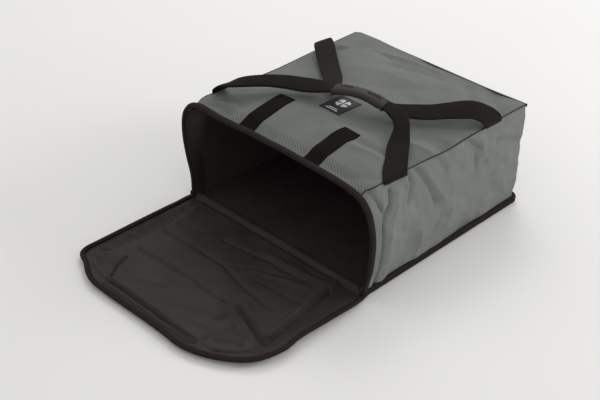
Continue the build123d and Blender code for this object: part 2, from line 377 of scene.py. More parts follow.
class Stitches:
    """Rows of short thread stitches, gathered into one object for each body."""

    LENGTH = 3.0
    PITCH = 4.2
    RADIUS = 0.42
    AROUND = 6
    # Each ring of a stitch: how far along it, how thick and how high over the cloth.
    RINGS = ((0.0, 0.35, -0.1), (0.25, 1.0, 0.35), (0.75, 1.0, 0.35), (1.0, 0.35, -0.1))
    FLATNESS = 0.7

    def __init__(self):
        self.points = []

    def row(self, line, up):
        """Stitches along a line of points, lying on a surface whose normal there is up."""
        line = np.asarray(line, float)
        lengths = run_lengths(line)
        count = max(1, int(lengths[-1] / self.PITCH))
        starts = (np.arange(count) + 0.5) * lengths[-1] / count - self.LENGTH / 2
        up = np.broadcast_to(np.asarray(up, float), line.shape)

        def read(values, at):
            return np.stack([np.interp(at, lengths, values[:, k]) for k in range(3)], -1)

        first = read(line, starts)
        last = read(line, starts + self.LENGTH)
        lift = unit(read(up, starts + self.LENGTH / 2))
        for a, b, n in zip(first, last, lift):
            across = np.cross(b - a, n)
            across /= max(np.linalg.norm(across), 1e-9)
            points = []
            for share, size, rise in self.RINGS:
                centre = a + (b - a) * share + n * rise
                reach = self.RADIUS * size
                for angle in np.linspace(0, 2 * math.pi, self.AROUND, endpoint=False):
                    sideways = across * math.cos(angle) * reach
                    points.append(centre + sideways + n * math.sin(angle) * reach * self.FLATNESS)
            self.points.append(np.array(points))

    def build(self, name, material, body):
        """Makes the gathered stitches into one object that rides on a body."""
        faces = []
        for number, stitch in enumerate(self.points):
            faces += tube_faces(number * len(stitch), len(self.RINGS), self.AROUND)
        points = np.concatenate(self.points)
        corners = np.concatenate([points[f] for f in faces])[:, :2] * MM
        obj = new_object(name, points, faces, corners, material)
        dressed(obj, "thread", body)


# ---------------------------------------------------------------- materials


def srgb(red, green, blue):
    """A colour given as 0 to 255 display values, made linear."""
    def linear(value):
        share = value / 255
        return share / 12.92 if share <= 0.04045 else ((share + 0.055) / 1.055) ** 2.4
    return (linear(red), linear(green), linear(blue), 1.0)


def shaded(colour, factor):
    """A colour made lighter or darker."""
    return (colour[0] * factor, colour[1] * factor, colour[2] * factor, 1.0)


class Maker:
    """Builds one node material a step at a time."""

    def __init__(self, name, roughness, sheen=0.0, specular=0.5):
        self.material = bpy.data.materials.new(name)
        self.material.use_nodes = True
        self.tree = self.material.node_tree
        self.tree.nodes.clear()
        output = self.tree.nodes.new("ShaderNodeOutputMaterial")
        self.shader = self.tree.nodes.new("ShaderNodeBsdfPrincipled")
        self.tree.links.new(self.shader.outputs[0], output.inputs[0])
        self.shader.inputs["Roughness"].default_value = roughness
        self.shader.inputs["Sheen Weight"].default_value = sheen
        self.shader.inputs["Sheen Roughness"].default_value = 0.5
        self.shader.inputs["Specular IOR Level"].default_value = specular

    def feed(self, socket, value):
        """Sets an input to a value, or joins it to another node's output."""
        if isinstance(value, bpy.types.NodeSocket):
            self.tree.links.new(value, socket)
        else:
            socket.default_value = value

    def node(self, kind, **inputs):
        """A new node, with its inputs fed by name."""
        node = self.tree.nodes.new(kind)
        for key, value in inputs.items():
            self.feed(node.inputs[key], value)
        return node

    def uv(self, scale=(1.0, 1.0, 1.0), turn=0.0):
        """The UV map in metres, scaled and turned."""
        uv = self.tree.nodes.new("ShaderNodeUVMap")
        uv.uv_map = "UVMap"
        mapping = self.node("ShaderNodeMapping", Vector=uv.outputs[0])
        mapping.inputs["Scale"].default_value = scale
        mapping.inputs["Rotation"].default_value = (0, 0, turn)
        return mapping.outputs[0]

    def place(self):
        """The place on the object, in metres."""
        return self.node("ShaderNodeTexCoord").outputs["Object"]

    def times(self, a, b):
        """The product of two values or outputs."""
        node = self.tree.nodes.new("ShaderNodeMath")
        node.operation = "MULTIPLY"
        for socket, value in zip(node.inputs, (a, b)):
            self.feed(socket, value)
        return node.outputs[0]

    def wave(self, vector, pitch, direction="X", distortion=0.0):
        """Bands across a direction, one each pitch in metres."""
        node = self.node("ShaderNodeTexWave", Vector=vector)
        node.bands_direction = direction
        node.wave_profile = "SIN"
        # A wave texture of scale 1 has a band each pi / 10 units.
        node.inputs["Scale"].default_value = math.pi / 10 / pitch
        node.inputs["Distortion"].default_value = distortion
        return node.outputs["Fac"]

    def plain_weave(self, pitch):
        """Threads that cross, one each pitch in metres along the UV map's two axes."""
        warp = self.wave(self.uv(), pitch, "X")
        weft = self.wave(self.uv(), pitch, "Y")
        return self.times(warp, weft)

    def noise(self, vector, scale, detail=2.0, roughness=0.5):
        """Soft noise with about scale features to the metre."""
        node = self.node("ShaderNodeTexNoise", Vector=vector)
        node.inputs["Scale"].default_value = scale
        node.inputs["Detail"].default_value = detail
        node.inputs["Roughness"].default_value = roughness
        return node.outputs["Fac"]

    def ramp(self, factor, low, high, start=0.0, end=1.0):
        """A colour between low and high as the factor goes from start to end."""
        node = self.node("ShaderNodeValToRGB", Fac=factor)
        node.color_ramp.elements[0].position = start
        node.color_ramp.elements[0].color = low
        node.color_ramp.elements[1].position = end
        node.color_ramp.elements[1].color = high
        return node.outputs["Color"]

    def mix(self, factor, a, b):
        """A colour that goes from a to b with the factor."""
        node = self.tree.nodes.new("ShaderNodeMix")
        node.data_type = "RGBA"
        # A mix node's inputs 6 and 7 and its output 2 are the ones for colours.
        for index, value in ((0, factor), (6, a), (7, b)):
            self.feed(node.inputs[index], value)
        return node.outputs[2]

    def colour(self, socket):
        """Makes an output the material's colour."""
        self.tree.links.new(socket, self.shader.inputs["Base Color"])

    def roughness(self, factor, low, high):
        """Roughness between low and high, by a factor."""
        node = self.node("ShaderNodeMapRange", Value=factor)
        node.inputs["To Min"].default_value = low
        node.inputs["To Max"].default_value = high
        self.tree.links.new(node.outputs[0], self.shader.inputs["Roughness"])

    def bump(self, *layers):
        """Bumps from (height, distance in metres, strength) layers, one on top of another."""
        normal = None
        for height, distance, strength in layers:
            node = self.node("ShaderNodeBump", Height=height)
            node.inputs["Distance"].default_value = distance
            node.inputs["Strength"].default_value = strength
            if normal is not None:
                self.tree.links.new(normal, node.inputs["Normal"])
            normal = node.outputs[0]
        self.tree.links.new(normal, self.shader.inputs["Normal"])


SHELL_COLOUR = srgb(130, 134, 130)
LINING_COLOUR = srgb(56, 50, 49)
TAPE_COLOUR = srgb(38, 31, 30)
WEBBING_COLOUR = srgb(27, 22, 21)
LOOP_COLOUR = srgb(25, 19, 19)
HOOK_COLOUR = srgb(76, 69, 69)
RUBBER_COLOUR = srgb(50, 45, 41)
LABEL_COLOUR = srgb(38, 38, 44)
MARK_COLOUR = srgb(222, 222, 222)
FOAM_COLOUR = srgb(196, 197, 194)
THREAD_COLOUR = srgb(30, 28, 28)


def shell_fabric(name, grain_share):
    """Coarse grey-green polyester: a plain weave with a diagonal grain and soft colour drifts."""
    m = Maker(name, 0.85, sheen=0.05, specular=0.2)
    grain = m.wave(m.uv(turn=math.radians(27)), 0.0030, "Y", 1.2)
    weave = m.plain_weave(0.0011)
    drift = m.noise(m.place(), 14.0, 3.0, 0.55)
    speckle = m.noise(m.uv((1.0, 0.6, 1.0)), 420.0, 2.0)
    base = m.ramp(drift, shaded(SHELL_COLOUR, 0.86), shaded(SHELL_COLOUR, 1.08), 0.3, 0.7)
    base = m.mix(m.times(grain, grain_share), base, shaded(SHELL_COLOUR, 0.42))
    base = m.mix(m.times(weave, 0.25), base, shaded(SHELL_COLOUR, 1.35))
    base = m.mix(m.times(speckle, 0.5), base, shaded(SHELL_COLOUR, 0.6))
    m.colour(base)
    m.roughness(drift, 0.78, 0.92)
    lumps = m.noise(m.place(), 90.0, 4.0)
    m.bump((grain, 0.0004 * grain_share, 0.6), (weave, 0.00025, 0.7), (lumps, 0.0008, 0.35))
    return m.material


def lining_nylon():
    """Black coated nylon: a fine square weave and small creases."""
    m = Maker("lining_nylon", 0.6, specular=0.14)
    weave = m.plain_weave(0.0008)
    drift = m.noise(m.place(), 11.0, 3.0, 0.6)
    crease = m.noise(m.place(), 38.0, 5.0, 0.6)
    base = m.ramp(drift, shaded(LINING_COLOUR, 0.82), shaded(LINING_COLOUR, 1.14), 0.3, 0.7)
    base = m.mix(m.times(weave, 0.3), base, shaded(LINING_COLOUR, 1.5))
    m.colour(base)
    m.roughness(crease, 0.52, 0.74)
    m.bump((weave, 0.00012, 0.6), (crease, 0.0022, 0.35), (drift, 0.006, 0.3))
    return m.material


def ribbed_tape():
    """Woven tape with ribs across its length, worn a little lighter in places."""
    m = Maker("binding_tape", 0.8, specular=0.12)
    rib = m.wave(m.uv(), 0.0018, "X")
    wear = m.noise(m.place(), 60.0, 4.0, 0.6)
    base = m.ramp(wear, shaded(TAPE_COLOUR, 0.8), shaded(TAPE_COLOUR, 1.3), 0.35, 0.75)
    base = m.mix(m.times(rib, 0.35), base, shaded(TAPE_COLOUR, 1.6))
    m.colour(base)
    m.roughness(wear, 0.72, 0.9)
    m.bump((rib, 0.0003, 0.7), (wear, 0.0008, 0.3))
    return m.material


def webbing():
    """Heavy strap webbing: fine ribs along it and a herringbone across them."""
    m = Maker("webbing", 0.72, specular=0.09)
    ribs = m.wave(m.uv(), 0.0022, "Y")
    slant = m.wave(m.uv(turn=math.radians(35)), 0.0012, "X")
    weave = m.times(ribs, slant)
    drift = m.noise(m.place(), 30.0, 4.0, 0.6)
    base = m.ramp(drift, shaded(WEBBING_COLOUR, 0.8), shaded(WEBBING_COLOUR, 1.25), 0.3, 0.7)
    base = m.mix(m.times(weave, 0.4), base, shaded(WEBBING_COLOUR, 1.7))
    m.colour(base)
    m.roughness(drift, 0.62, 0.82)
    m.bump((ribs, 0.0003, 0.6), (slant, 0.00015, 0.6), (drift, 0.001, 0.3))
    return m.material


def loop_pile():
    """The soft side of hook-and-loop tape: a dense pile of tiny loops."""
    m = Maker("loop_pile", 0.95, sheen=0.02, specular=0.06)
    pile = m.noise(m.place(), 1400.0, 3.0, 0.7)
    drift = m.noise(m.place(), 70.0, 3.0, 0.6)
    base = m.ramp(pile, shaded(LOOP_COLOUR, 0.55), shaded(LOOP_COLOUR, 1.5), 0.3, 0.7)
    base = m.mix(m.times(drift, 0.35), base, shaded(LOOP_COLOUR, 0.7))
    m.colour(base)
    m.bump((pile, 0.0008, 0.8), (drift, 0.001, 0.4))
    return m.material


def hook_pile():
    """The stiff side of hook-and-loop tape: rows of small hooks."""
    m = Maker("hook_pile", 0.8, specular=0.1)
    rows = m.wave(m.uv(), 0.0016, "X")
    columns = m.wave(m.uv(), 0.0013, "Y")
    hooks = m.times(rows, columns)
    drift = m.noise(m.place(), 50.0, 3.0)
    base = m.ramp(hooks, shaded(HOOK_COLOUR, 0.7), shaded(HOOK_COLOUR, 1.4), 0.2, 0.9)
    base = m.mix(m.times(drift, 0.3), base, shaded(HOOK_COLOUR, 0.8))
    m.colour(base)
    m.bump((hooks, 0.001, 0.9))
    return m.material


def grip_rubber():
    """Moulded black rubber with a fine matt grain and rubbed, shinier patches."""
    m = Maker("grip_rubber", 0.5, specular=0.22)
    grain = m.noise(m.place(), 900.0, 3.0)
    rub = m.noise(m.place(), 45.0, 4.0, 0.65)
    m.colour(m.ramp(rub, shaded(RUBBER_COLOUR, 0.8), shaded(RUBBER_COLOUR, 1.3), 0.35, 0.7))
    m.roughness(rub, 0.46, 0.66)
    m.bump((grain, 0.0002, 0.6), (rub, 0.0006, 0.3))
    return m.material


def label_cloth(name, colour):
    """Tightly woven label cloth."""
    m = Maker(name, 0.7, sheen=0.1, specular=0.3)
    weave = m.plain_weave(0.0006)
    drift = m.noise(m.place(), 120.0, 3.0)
    base = m.ramp(drift, shaded(colour, 0.88), shaded(colour, 1.1), 0.3, 0.7)
    m.colour(m.mix(m.times(weave, 0.3), base, shaded(colour, 1.3)))
    m.bump((weave, 0.0001, 0.6))
    return m.material


def foam_cell():
    """Closed-cell foam, seen where a panel is cut."""
    m = Maker("foam_cell", 0.9, specular=0.2)
    cells = m.node("ShaderNodeTexVoronoi", Vector=m.place(), Scale=700.0).outputs["Distance"]
    drift = m.noise(m.place(), 25.0, 3.0)
    base = m.ramp(cells, shaded(FOAM_COLOUR, 1.05), shaded(FOAM_COLOUR, 0.7), 0.1, 0.9)
    m.colour(m.mix(m.times(drift, 0.3), base, shaded(FOAM_COLOUR, 0.85)))
    m.bump((cells, 0.0006, 0.5))
    return m.material


def sewing_thread():
    """Twisted sewing thread."""
    m = Maker("sewing_thread", 0.7, specular=0.15)
    twist = m.noise(m.place(), 1500.0, 2.0)
    m.colour(m.ramp(twist, shaded(THREAD_COLOUR, 0.7), shaded(THREAD_COLOUR, 1.6), 0.3, 0.7))
    m.bump((twist, 0.0002, 0.6))
    return m.material


def studio_floor():
    """Pale seamless paper."""
    m = Maker("studio_floor", 0.9, specular=0.1)
    drift = m.noise(m.place(), 1.5, 2.0)
    m.colour(m.ramp(drift, srgb(240, 239, 238), srgb(243, 242, 241), 0.3, 0.7))
    m.bump((m.noise(m.place(), 600.0, 2.0), 0.0001, 0.1))
    return m.material


M_SHELL = shell_fabric("shell_fabric", 0.8)
M_WALL = shell_fabric("shell_fabric_walls", 0.2)
M_LINING = lining_nylon()
M_TAPE = ribbed_tape()
M_WEBBING = webbing()
M_LOOP = loop_pile()
M_HOOK = hook_pile()
M_RUBBER = grip_rubber()
M_LABEL = label_cloth("label_cloth", LABEL_COLOUR)
M_MARK = label_cloth("label_mark_thread", MARK_COLOUR)
M_FOAM = foam_cell()
M_THREAD = sewing_thread()
M_FLOOR = studio_floor()


# ---------------------------------------------------------------- the bag's surfaces


def half_width(y):
    """Half the bag's width at y, before its back corners are rounded."""
    return HALF_FRONT + (HALF_BACK - HALF_FRONT) * (np.asarray(y, float) - Y_FRONT) / (Y_BACK - Y_FRONT)


def outline_half(y, inset=0.0):
    """Half the bag's width at y with its rounded back corners, inset all round."""
    radius = CORNER_RADIUS - inset
    past = np.clip(np.asarray(y, float) - (Y_BACK - inset - radius), 0, radius)
    return half_width(y) - inset - radius + np.sqrt(radius**2 - past**2)


def seam_height(x, y):
    """The height of the top seam at a place on the bag's outline."""
    right = smooth_curve(SEAM_Y, SEAM_DIP_RIGHT, y)
    left = smooth_curve(SEAM_Y, SEAM_DIP_LEFT, y)
    share = np.clip(x / half_width(y) / 2 + 0.5, 0, 1)
    return SEAM_Z + left + (right - left) * share


def seam_tuck(x, y):
    """How far the top seam is drawn inwards at a place on the outline: only on the right."""
    return smooth_curve(SEAM_Y, SEAM_TUCK_RIGHT, y) * smoothstep(100, 170, x)


def corner_pull(x, y):
    """How far the top right back corner is pulled out, at a place on the outline."""
    from_corner = np.hypot(x - HALF_BACK, y - Y_BACK)
    return CORNER_PULL * hump(from_corner, CORNER_PULL_REACH) / math.sqrt(2)


def rim_share(y):
    """How far a point at y follows the opening's rim."""
    return smoothstep(Y_FRONT + RIM_REACH, Y_FRONT, y)


TOP_FOLDS = [
    # Pulls at the rear strap ends and the front left one.
    ([(-156, 100), (-126, 146), (-70, 148)], 11.0, -6.0),
    ([(-150, 122), (-104, 148), (-40, 158), (17, 166)], 6.0, 4.1),
    ([(-46, 126), (0, 140), (34, 150)], 10.0, -4.1),
    ([(-150, -112), (-130, -98), (-112, -88)], 9.0, -3.6),
    ([(-148, -88), (-120, -70)], 9.0, -2.6),
    ([(168, 104), (140, 96), (112, 98)], 8.0, -3.6),
    ([(80, 158), (96, 142), (112, 126)], 8.0, -5.0),
    ([(172, 128), (150, 142), (120, 168)], 8.0, -3.1),
    # The dent beside the right seam, in front of its middle.
    ([(112, -34), (136, -8), (158, -2), (176, -4)], 8.0, -6.0),
    ([(124, -52), (150, -32), (174, -24)], 8.0, 4.9),
    ([(112, 14), (146, 6), (172, 0)], 22.0, -4.8),
    ([(170, -60), (140, -70), (110, -66)], 10.0, -3.6),
    ([(166, 22), (140, 8), (120, 12)], 9.0, 3.2),
    # Pulls over the crown and down the front slope.
    ([(-8, -108), (-12, -150), (-18, -182)], 15.0, -5.3),
    ([(20, -106), (34, -140), (44, -166)], 9.0, -4.8),
    ([(34, -82), (60, -70), (88, -60)], 12.0, -3.8),
    ([(88, -99), (108, -97), (132, -90)], 7.0, -6.0),
    ([(90, -116), (108, -113), (132, -106)], 7.0, 4.1),
    ([(100, -172), (130, -166), (156, -150)], 11.0, -4.1),
    ([(-152, -168), (-130, -160), (-112, -166)], 7.0, -4.3),
    ([(-150, -146), (-124, -138), (-106, -146)], 7.0, -3.6),
    ([(-136, -156), (-118, -150)], 6.0, 2.4),
    ([(-40, 30), (10, 60), (60, 120)], 22.0, -3.1),
    ([(-90, 60), (-40, 90), (20, 100)], 16.0, 2.7),
    ([(60, 60), (110, 110), (130, 150)], 14.0, -2.9),
]


def top_wrinkles(x, y):
    """The height of the top panel's folds and ripples over its smooth shape."""
    ripples = cloth_noise(x, y, 62, 11) * 1.8 + cloth_noise(x + 0.4 * y, y, 27, 12) * 0.9
    return no_deeper(folds(x, y, TOP_FOLDS, 1.25) + ripples, TOP_FOLD_LIMIT)


def crown_height(x, u, y):
    """The top panel's smooth height, from its seams up to its crown; u is -1 to 1 over its width."""
    seam = seam_height(x, y)
    middle = SEAM_Z + smooth_curve(CROWN_Y, CROWN_RISE, y)
    to_side = 1 - np.abs(u) ** CROWN_SQUARENESS
    to_back = 1 - np.exp(-np.clip(Y_BACK - y, 0, None) / CROWN_BACK_REACH)
    return seam + (middle - seam) * to_side * to_back


def top_relief(x, u, y):
    """The top panel's folds, fading out at the opening and at the side seams."""
    calm = smoothstep(Y_FRONT, Y_FRONT + 18, y) * smoothstep(1.0, 0.95, np.abs(u))
    return calm * top_wrinkles(x, y)


def top_grid(across, back, wrinkled=True):
    """The top panel's outer face: across is -1 to 1 over its width, and back is y."""
    y, u = np.meshgrid(back, across, indexing="ij")
    half = outline_half(y)
    half = half - seam_tuck(u * half, y)
    x = u * half
    z = crown_height(x, u, y)
    rim = along(RIM_TOP, (np.asarray(across) + 1) / 2)
    share = rim_share(y)
    x = x + share * (rim[None, :, 0] * half / half_width(y) - x)
    z = z + share * (SEAM_Z + rim[None, :, 1] - z)
    if wrinkled:
        z = z + top_relief(x, u, y)
        from_seam = half * (1 - np.abs(u))
        z = z - SEAM_GROOVE * hump(from_seam, SEAM_GROOVE_WIDTH) * (1 - share)
        z = z - SEAM_GROOVE * hump(Y_BACK - y, SEAM_GROOVE_WIDTH)
    pull = corner_pull(x, y)
    return np.stack([x + pull, y + pull, z], -1)


def plan_path(inset=0.0, step=3.0):
    """The bag's outline, left front to back to right front: its points and their outward normals."""
    radius = CORNER_RADIUS - inset
    rear = Y_BACK - inset - radius
    near = np.arange(Y_FRONT, Y_FRONT + 60, step / 2)
    sides = np.concatenate([near, edged(Y_FRONT + 60, rear, step)])
    angle = np.linspace(0, math.pi / 2, 12)[1:-1]
    corner_x = half_width(rear) - inset - radius
    right = [(half_width(y) - inset, y) for y in sides]
    corner = [(corner_x + radius * math.cos(a), rear + radius * math.sin(a)) for a in angle]
    back = [(x, Y_BACK - inset) for x in np.linspace(corner_x, -corner_x, round(2 * corner_x / step))]
    left = [(-x, y) for x, y in reversed(right)]
    left_corner = [(-x, y) for x, y in reversed(corner)]
    path = np.array(right + corner + back + left_corner + left)[::-1]
    direction = directions(path)
    away = np.stack([-direction[:, 1], direction[:, 0]], -1)
    return path, away


# Folds in the side band, by place and height: behind the opening on the right and the left side, and
# from side to side on the back.
SIDE_FOLDS = [
    # The deep pleat behind the opening's binding, and the pull that runs into it.
    ([(51, 158), (45, 142), (26, 119), (29, 78), (28, 44), (26, 2)], 2.5, -9.0),
    ([(14, 172), (22, 155), (29, 132)], 2.5, -5.8),
    ([(34, 160), (30, 142), (20, 118), (21, 78), (20, 40)], 3.6, 2.4),
    ([(62, 152), (57, 134), (42, 108), (44, 60), (42, 16)], 9.0, 3.8),
    ([(94, 172), (100, 151), (83, 128)], 3.4, -8.0),
    ([(86, 166), (88, 146), (74, 128)], 5.4, 4.2),
    ([(112, 168), (136, 126), (150, 98)], 3.6, -8.0),
    ([(126, 166), (150, 124), (170, 92)], 5.9, 4.2),
    ([(154, 172), (174, 141)], 5.1, -4.8),
    ([(184, 170), (190, 156)], 4.2, -3.8),
    ([(218, 174), (236, 160), (255, 142)], 3.4, -6.5),
    ([(226, 163), (246, 140), (251, 109)], 3.9, -5.5),
    ([(262, 150), (268, 128)], 6.3, 3.6),
    ([(116, 66), (117, 40), (116, 19)], 4.5, 5.1),
    ([(168, 70), (149, 34), (120, 25)], 5.1, -3.8),
    ([(272, 109), (240, 102), (205, 86)], 6.8, -3.2),
    ([(196, 66), (176, 30)], 5.4, 3.6),
    ([(304, 136), (322, 126), (342, 122)], 5.1, -7.5),
    ([(300, 88), (330, 96)], 8.1, 3.6),
    ([(70, 90), (90, 70), (86, 40)], 8.5, -3.2),
]
LEFT_FOLDS = [
    ([(30, 170), (33, 120), (31, 70), (33, 4)], 4.2, -8.5),
    ([(92, 168), (96, 140), (88, 108)], 6.0, -6.0),
    ([(110, 168), (128, 128), (146, 92)], 6.5, -5.7),
    ([(150, 160), (162, 110)], 8.0, 4.2),
    ([(255, 166), (240, 130), (222, 96)], 7.0, -5.5),
    ([(300, 166), (308, 128)], 7.0, -4.7),
    ([(180, 60), (240, 40)], 14.0, 3.4),
]
BACK_FOLDS = [
    ([(-124, 164), (-100, 122), (-90, 70)], 7.0, -6.4),
    ([(-108, 160), (-84, 118), (-74, 80)], 8.0, 3.4),
    ([(-30, 168), (-12, 126), (-16, 88)], 6.0, -5.6),
    ([(-12, 162), (6, 118)], 8.0, 3.0),
    ([(46, 166), (58, 134)], 6.0, -4.4),
    ([(96, 166), (74, 120), (80, 64)], 7.0, -6.4),
    ([(112, 160), (92, 116), (96, 76)], 8.0, 3.2),
    ([(140, 150), (126, 96)], 9.0, 3.4),
    ([(-60, 34), (-10, 46), (40, 28)], 11.0, 3.6),
    ([(-140, 60), (-112, 24)], 8.0, -3.8),
]


def side_wrinkles(x, y, height):
    """How far the side band stands out from its smooth shape."""
    from_front = y - Y_FRONT
    right = folds(from_front, height, SIDE_FOLDS, 1.1) * smoothstep(100, 150, x)
    left = folds(from_front, height, LEFT_FOLDS, 1.1) * smoothstep(-100, -150, x)
    back = folds(x, height, BACK_FOLDS, 1.25) * smoothstep(Y_BACK - 30, Y_BACK - 4, y)
    along_wall = np.where(np.abs(x) > 150, y, x)
    drift = cloth_noise(along_wall, height, 58, 21) * 1.6 + cloth_noise(along_wall, height, 24, 22) * 0.9
    crinkle = cloth_noise(along_wall + 0.5 * height, height * 0.7, 13, 23) * 1.2
    drift = drift + crinkle + cloth_noise(along_wall - 0.4 * height, height, 8, 24) * 0.6
    drift = drift * smoothstep(Y_FRONT - 2, Y_FRONT + 26, y)
    calm = smoothstep(-8, 12, height) * smoothstep(0, 9, seam_height(x, y) - height)
    return no_deeper(right + left + back + drift, SIDE_FOLD_LIMIT) * calm


def side_grid(path, away, shares, wrinkled=True):
    """The side band's outer face, rows up the wall: shares are 0 to 1 of the wall's height."""
    x0 = path[None, :, 0]
    y0 = path[None, :, 1]
    t = np.asarray(shares)[:, None]
    seam = seam_height(x0, y0)
    height = t * seam
    left_rim = along(RIM_LEFT, shares)
    right_rim = along(RIM_RIGHT, shares)
    rim_out = np.where(x0 < 0, left_rim[:, :1], right_rim[:, :1])
    rim_z = np.where(x0 < 0, left_rim[:, 1:], right_rim[:, 1:])
    is_side = smoothstep(100, 140, np.abs(x0))
    near = rim_share(y0)
    # The walls belly out behind the rim, less and less towards the back.
    belly = np.sin(math.pi * np.clip(t, 0, 1)) ** 0.9
    fade = 1 - smoothstep(Y_FRONT + 10, Y_BACK - 40, y0)
    out_side = belly * (BELLY_SIDE + BELLY_FRONT * fade)
    out_back = belly * BELLY_BACK
    out = out_side * is_side + out_back * (1 - is_side)
    out = out + near * is_side * (rim_out - out)
    height = height + near * is_side * (rim_z - height)
    out = out - seam_tuck(x0, y0) * smoothstep(0.72, 1.0, t) * (1 - near)
    if wrinkled:
        out = out + side_wrinkles(x0, y0, height)
        from_seam = (1 - t) * seam
        out = out - SEAM_GROOVE * hump(from_seam, SEAM_GROOVE_WIDTH)
    x = x0 + away[None, :, 0] * out
    y = y0 + away[None, :, 1] * out * (1 - near)
    pull = corner_pull(x0, y0) * smoothstep(0.35, 1.0, t)
    return np.stack([x + pull, y + pull, height], -1)


def panel_uv(a, b):
    """UVs in millimetres from two arrays of distances."""
    b, a = np.meshgrid(b, a, indexing="ij")
    return np.stack([a, b], -1)


def make_side_band():
    """The shell of the left side, back and right side: one strip of cloth."""
    path, away = plan_path()
    heights = edged(2.5, SEAM_Z, 2.4) / SEAM_Z
    grid = side_grid(path, away, heights)
    uv = panel_uv(run_lengths(path), heights * SEAM_Z)
    band = slab("side_band_shell", grid, grid - outward(grid) * SHELL, uv, M_WALL)
    dressed(band, "shell_fabric", "bag", "left_side_shell", "right_side_shell", "back_shell")


def make_top_panel():
    """The shell of the top."""
    across = bunched(141)
    back = edged(Y_FRONT, Y_BACK, 2.8)
    grid = top_grid(across, back)
    uv = panel_uv(across * HALF_FRONT, back)
    top = slab("top_panel_shell", grid, grid - outward(grid) * SHELL, uv, M_SHELL)
    dressed(top, "shell_fabric", "bag", "top_shell")


def make_top_seam():
    """A thin dark bead along the top seam: painted shade that draws the shadowed line in the seam's groove.
    """
    path, away = plan_path()
    keep = path[:, 1] > Y_FRONT + 3
    path = path[keep]
    away = away[keep]
    step = 0.25
    rows = side_grid(path, away, 1 - np.arange(17) * step / SEAM_Z)
    # The line lies on the sides' very edge, and a little lower along the back.
    drop = step + 3.0 * smoothstep(Y_BACK - CORNER_RADIUS, Y_BACK - 1, path[:, 1])
    chosen = np.round(drop / step).astype(int)
    line = rows[chosen, np.arange(len(path))]
    line[:, :2] += away * SEAM_GROOVE * hump(drop, SEAM_GROOVE_WIDTH)[:, None] * 0.7
    side = np.tile([0.0, 0.0, 1.0], (len(line), 1))
    # The dark bead is painted shade: it stands for the shadow line in the seam's groove.
    seam = bead("top_seam_shade_bead", line, side, oval(1.4, 1.4, 10, 2.0), M_TAPE)
    dressed(seam, "binding_tape", "bag")


def top_surface(x, y):
    """The top panel's height at places well inside its edges."""
    u = np.clip(x / outline_half(y), -1, 1)
    z = crown_height(x, u, y)
    rim = np.interp(x, [p[0] for p in RIM_TOP], [p[1] for p in RIM_TOP])
    z = z + rim_share(y) * (SEAM_Z + rim - z)
    return z + top_relief(x, u, y)


# ---------------------------------------------------------------- flap surfaces

# The flap's edge from the hinge along each side, round the cut corner and to the far edge:
# (in from the flap's CAD edge, y, height).
EDGE_LEFT = [
    (5.5, Y_FRONT + 8.0, 3.0),
    (6.0, -196.0, 4.5),
    (9.5, -214.0, 7.0),
    (12.0, -240.0, 9.5),
    (13.0, -290.0, 10.5),
    (13.0, -345.0, 10.0),
    (12.0, -378.0, 8.8),
    (11.5, -397.0, 8.0),
    (15.5, -407.5, 8.0),
    (38.0, -419.5, 8.0),
    (59.5, -432.5, 7.5),
    (81.0, -440.0, 7.0),
    (109.0, -442.0, 6.5),
]
EDGE_RIGHT = [
    (1.0, Y_FRONT + 8.0, 2.5),
    (-3.5, -192.0, 4.5),
    (-7.5, -212.0, 8.0),
    (-10.0, -250.0, 11.5),
    (-10.0, -282.0, 12.0),
    (-9.5, -310.0, 12.0),
    (-10.5, -328.0, 12.0),
    (-13.5, -350.0, 11.5),
    (-12.5, -366.0, 11.5),
    (-9.0, -380.0, 11.0),
    (-4.0, -393.0, 10.5),
    (5.0, -405.0, 9.5),
    (30.0, -424.0, 8.0),
    (54.0, -436.0, 7.0),
    (93.0, -445.5, 6.5),
    (125.0, -444.0, 6.5),
]
FAR_EDGE_LIFT = 4.5
BORDER = FLAP_HALF - cad_box("flap_foam")[1][0]
# The least height of the lining's upper face over the shell's lower face.
LINING_CLEAR = SHELL + 1.3


def edge_line(side, count=220):
    """The flap's edge on one side (-1 or 1), from inside the bag to the far edge's middle stretch."""
    rows = np.array(EDGE_LEFT if side < 0 else EDGE_RIGHT)
    x = side * (FLAP_HALF - rows[:, 0])
    points = np.stack([x, rows[:, 1], rows[:, 2]], -1)
    return along(points, np.linspace(0, 1, count))


LEFT_EDGE = edge_line(-1)
RIGHT_EDGE = edge_line(1)


def edge_at(edge, y):
    """The edge's x and height at y."""
    order = np.argsort(edge[:, 1])
    x = np.interp(y, edge[order, 1], edge[order, 0])
    z = np.interp(y, edge[order, 1], edge[order, 2])
    return x, z


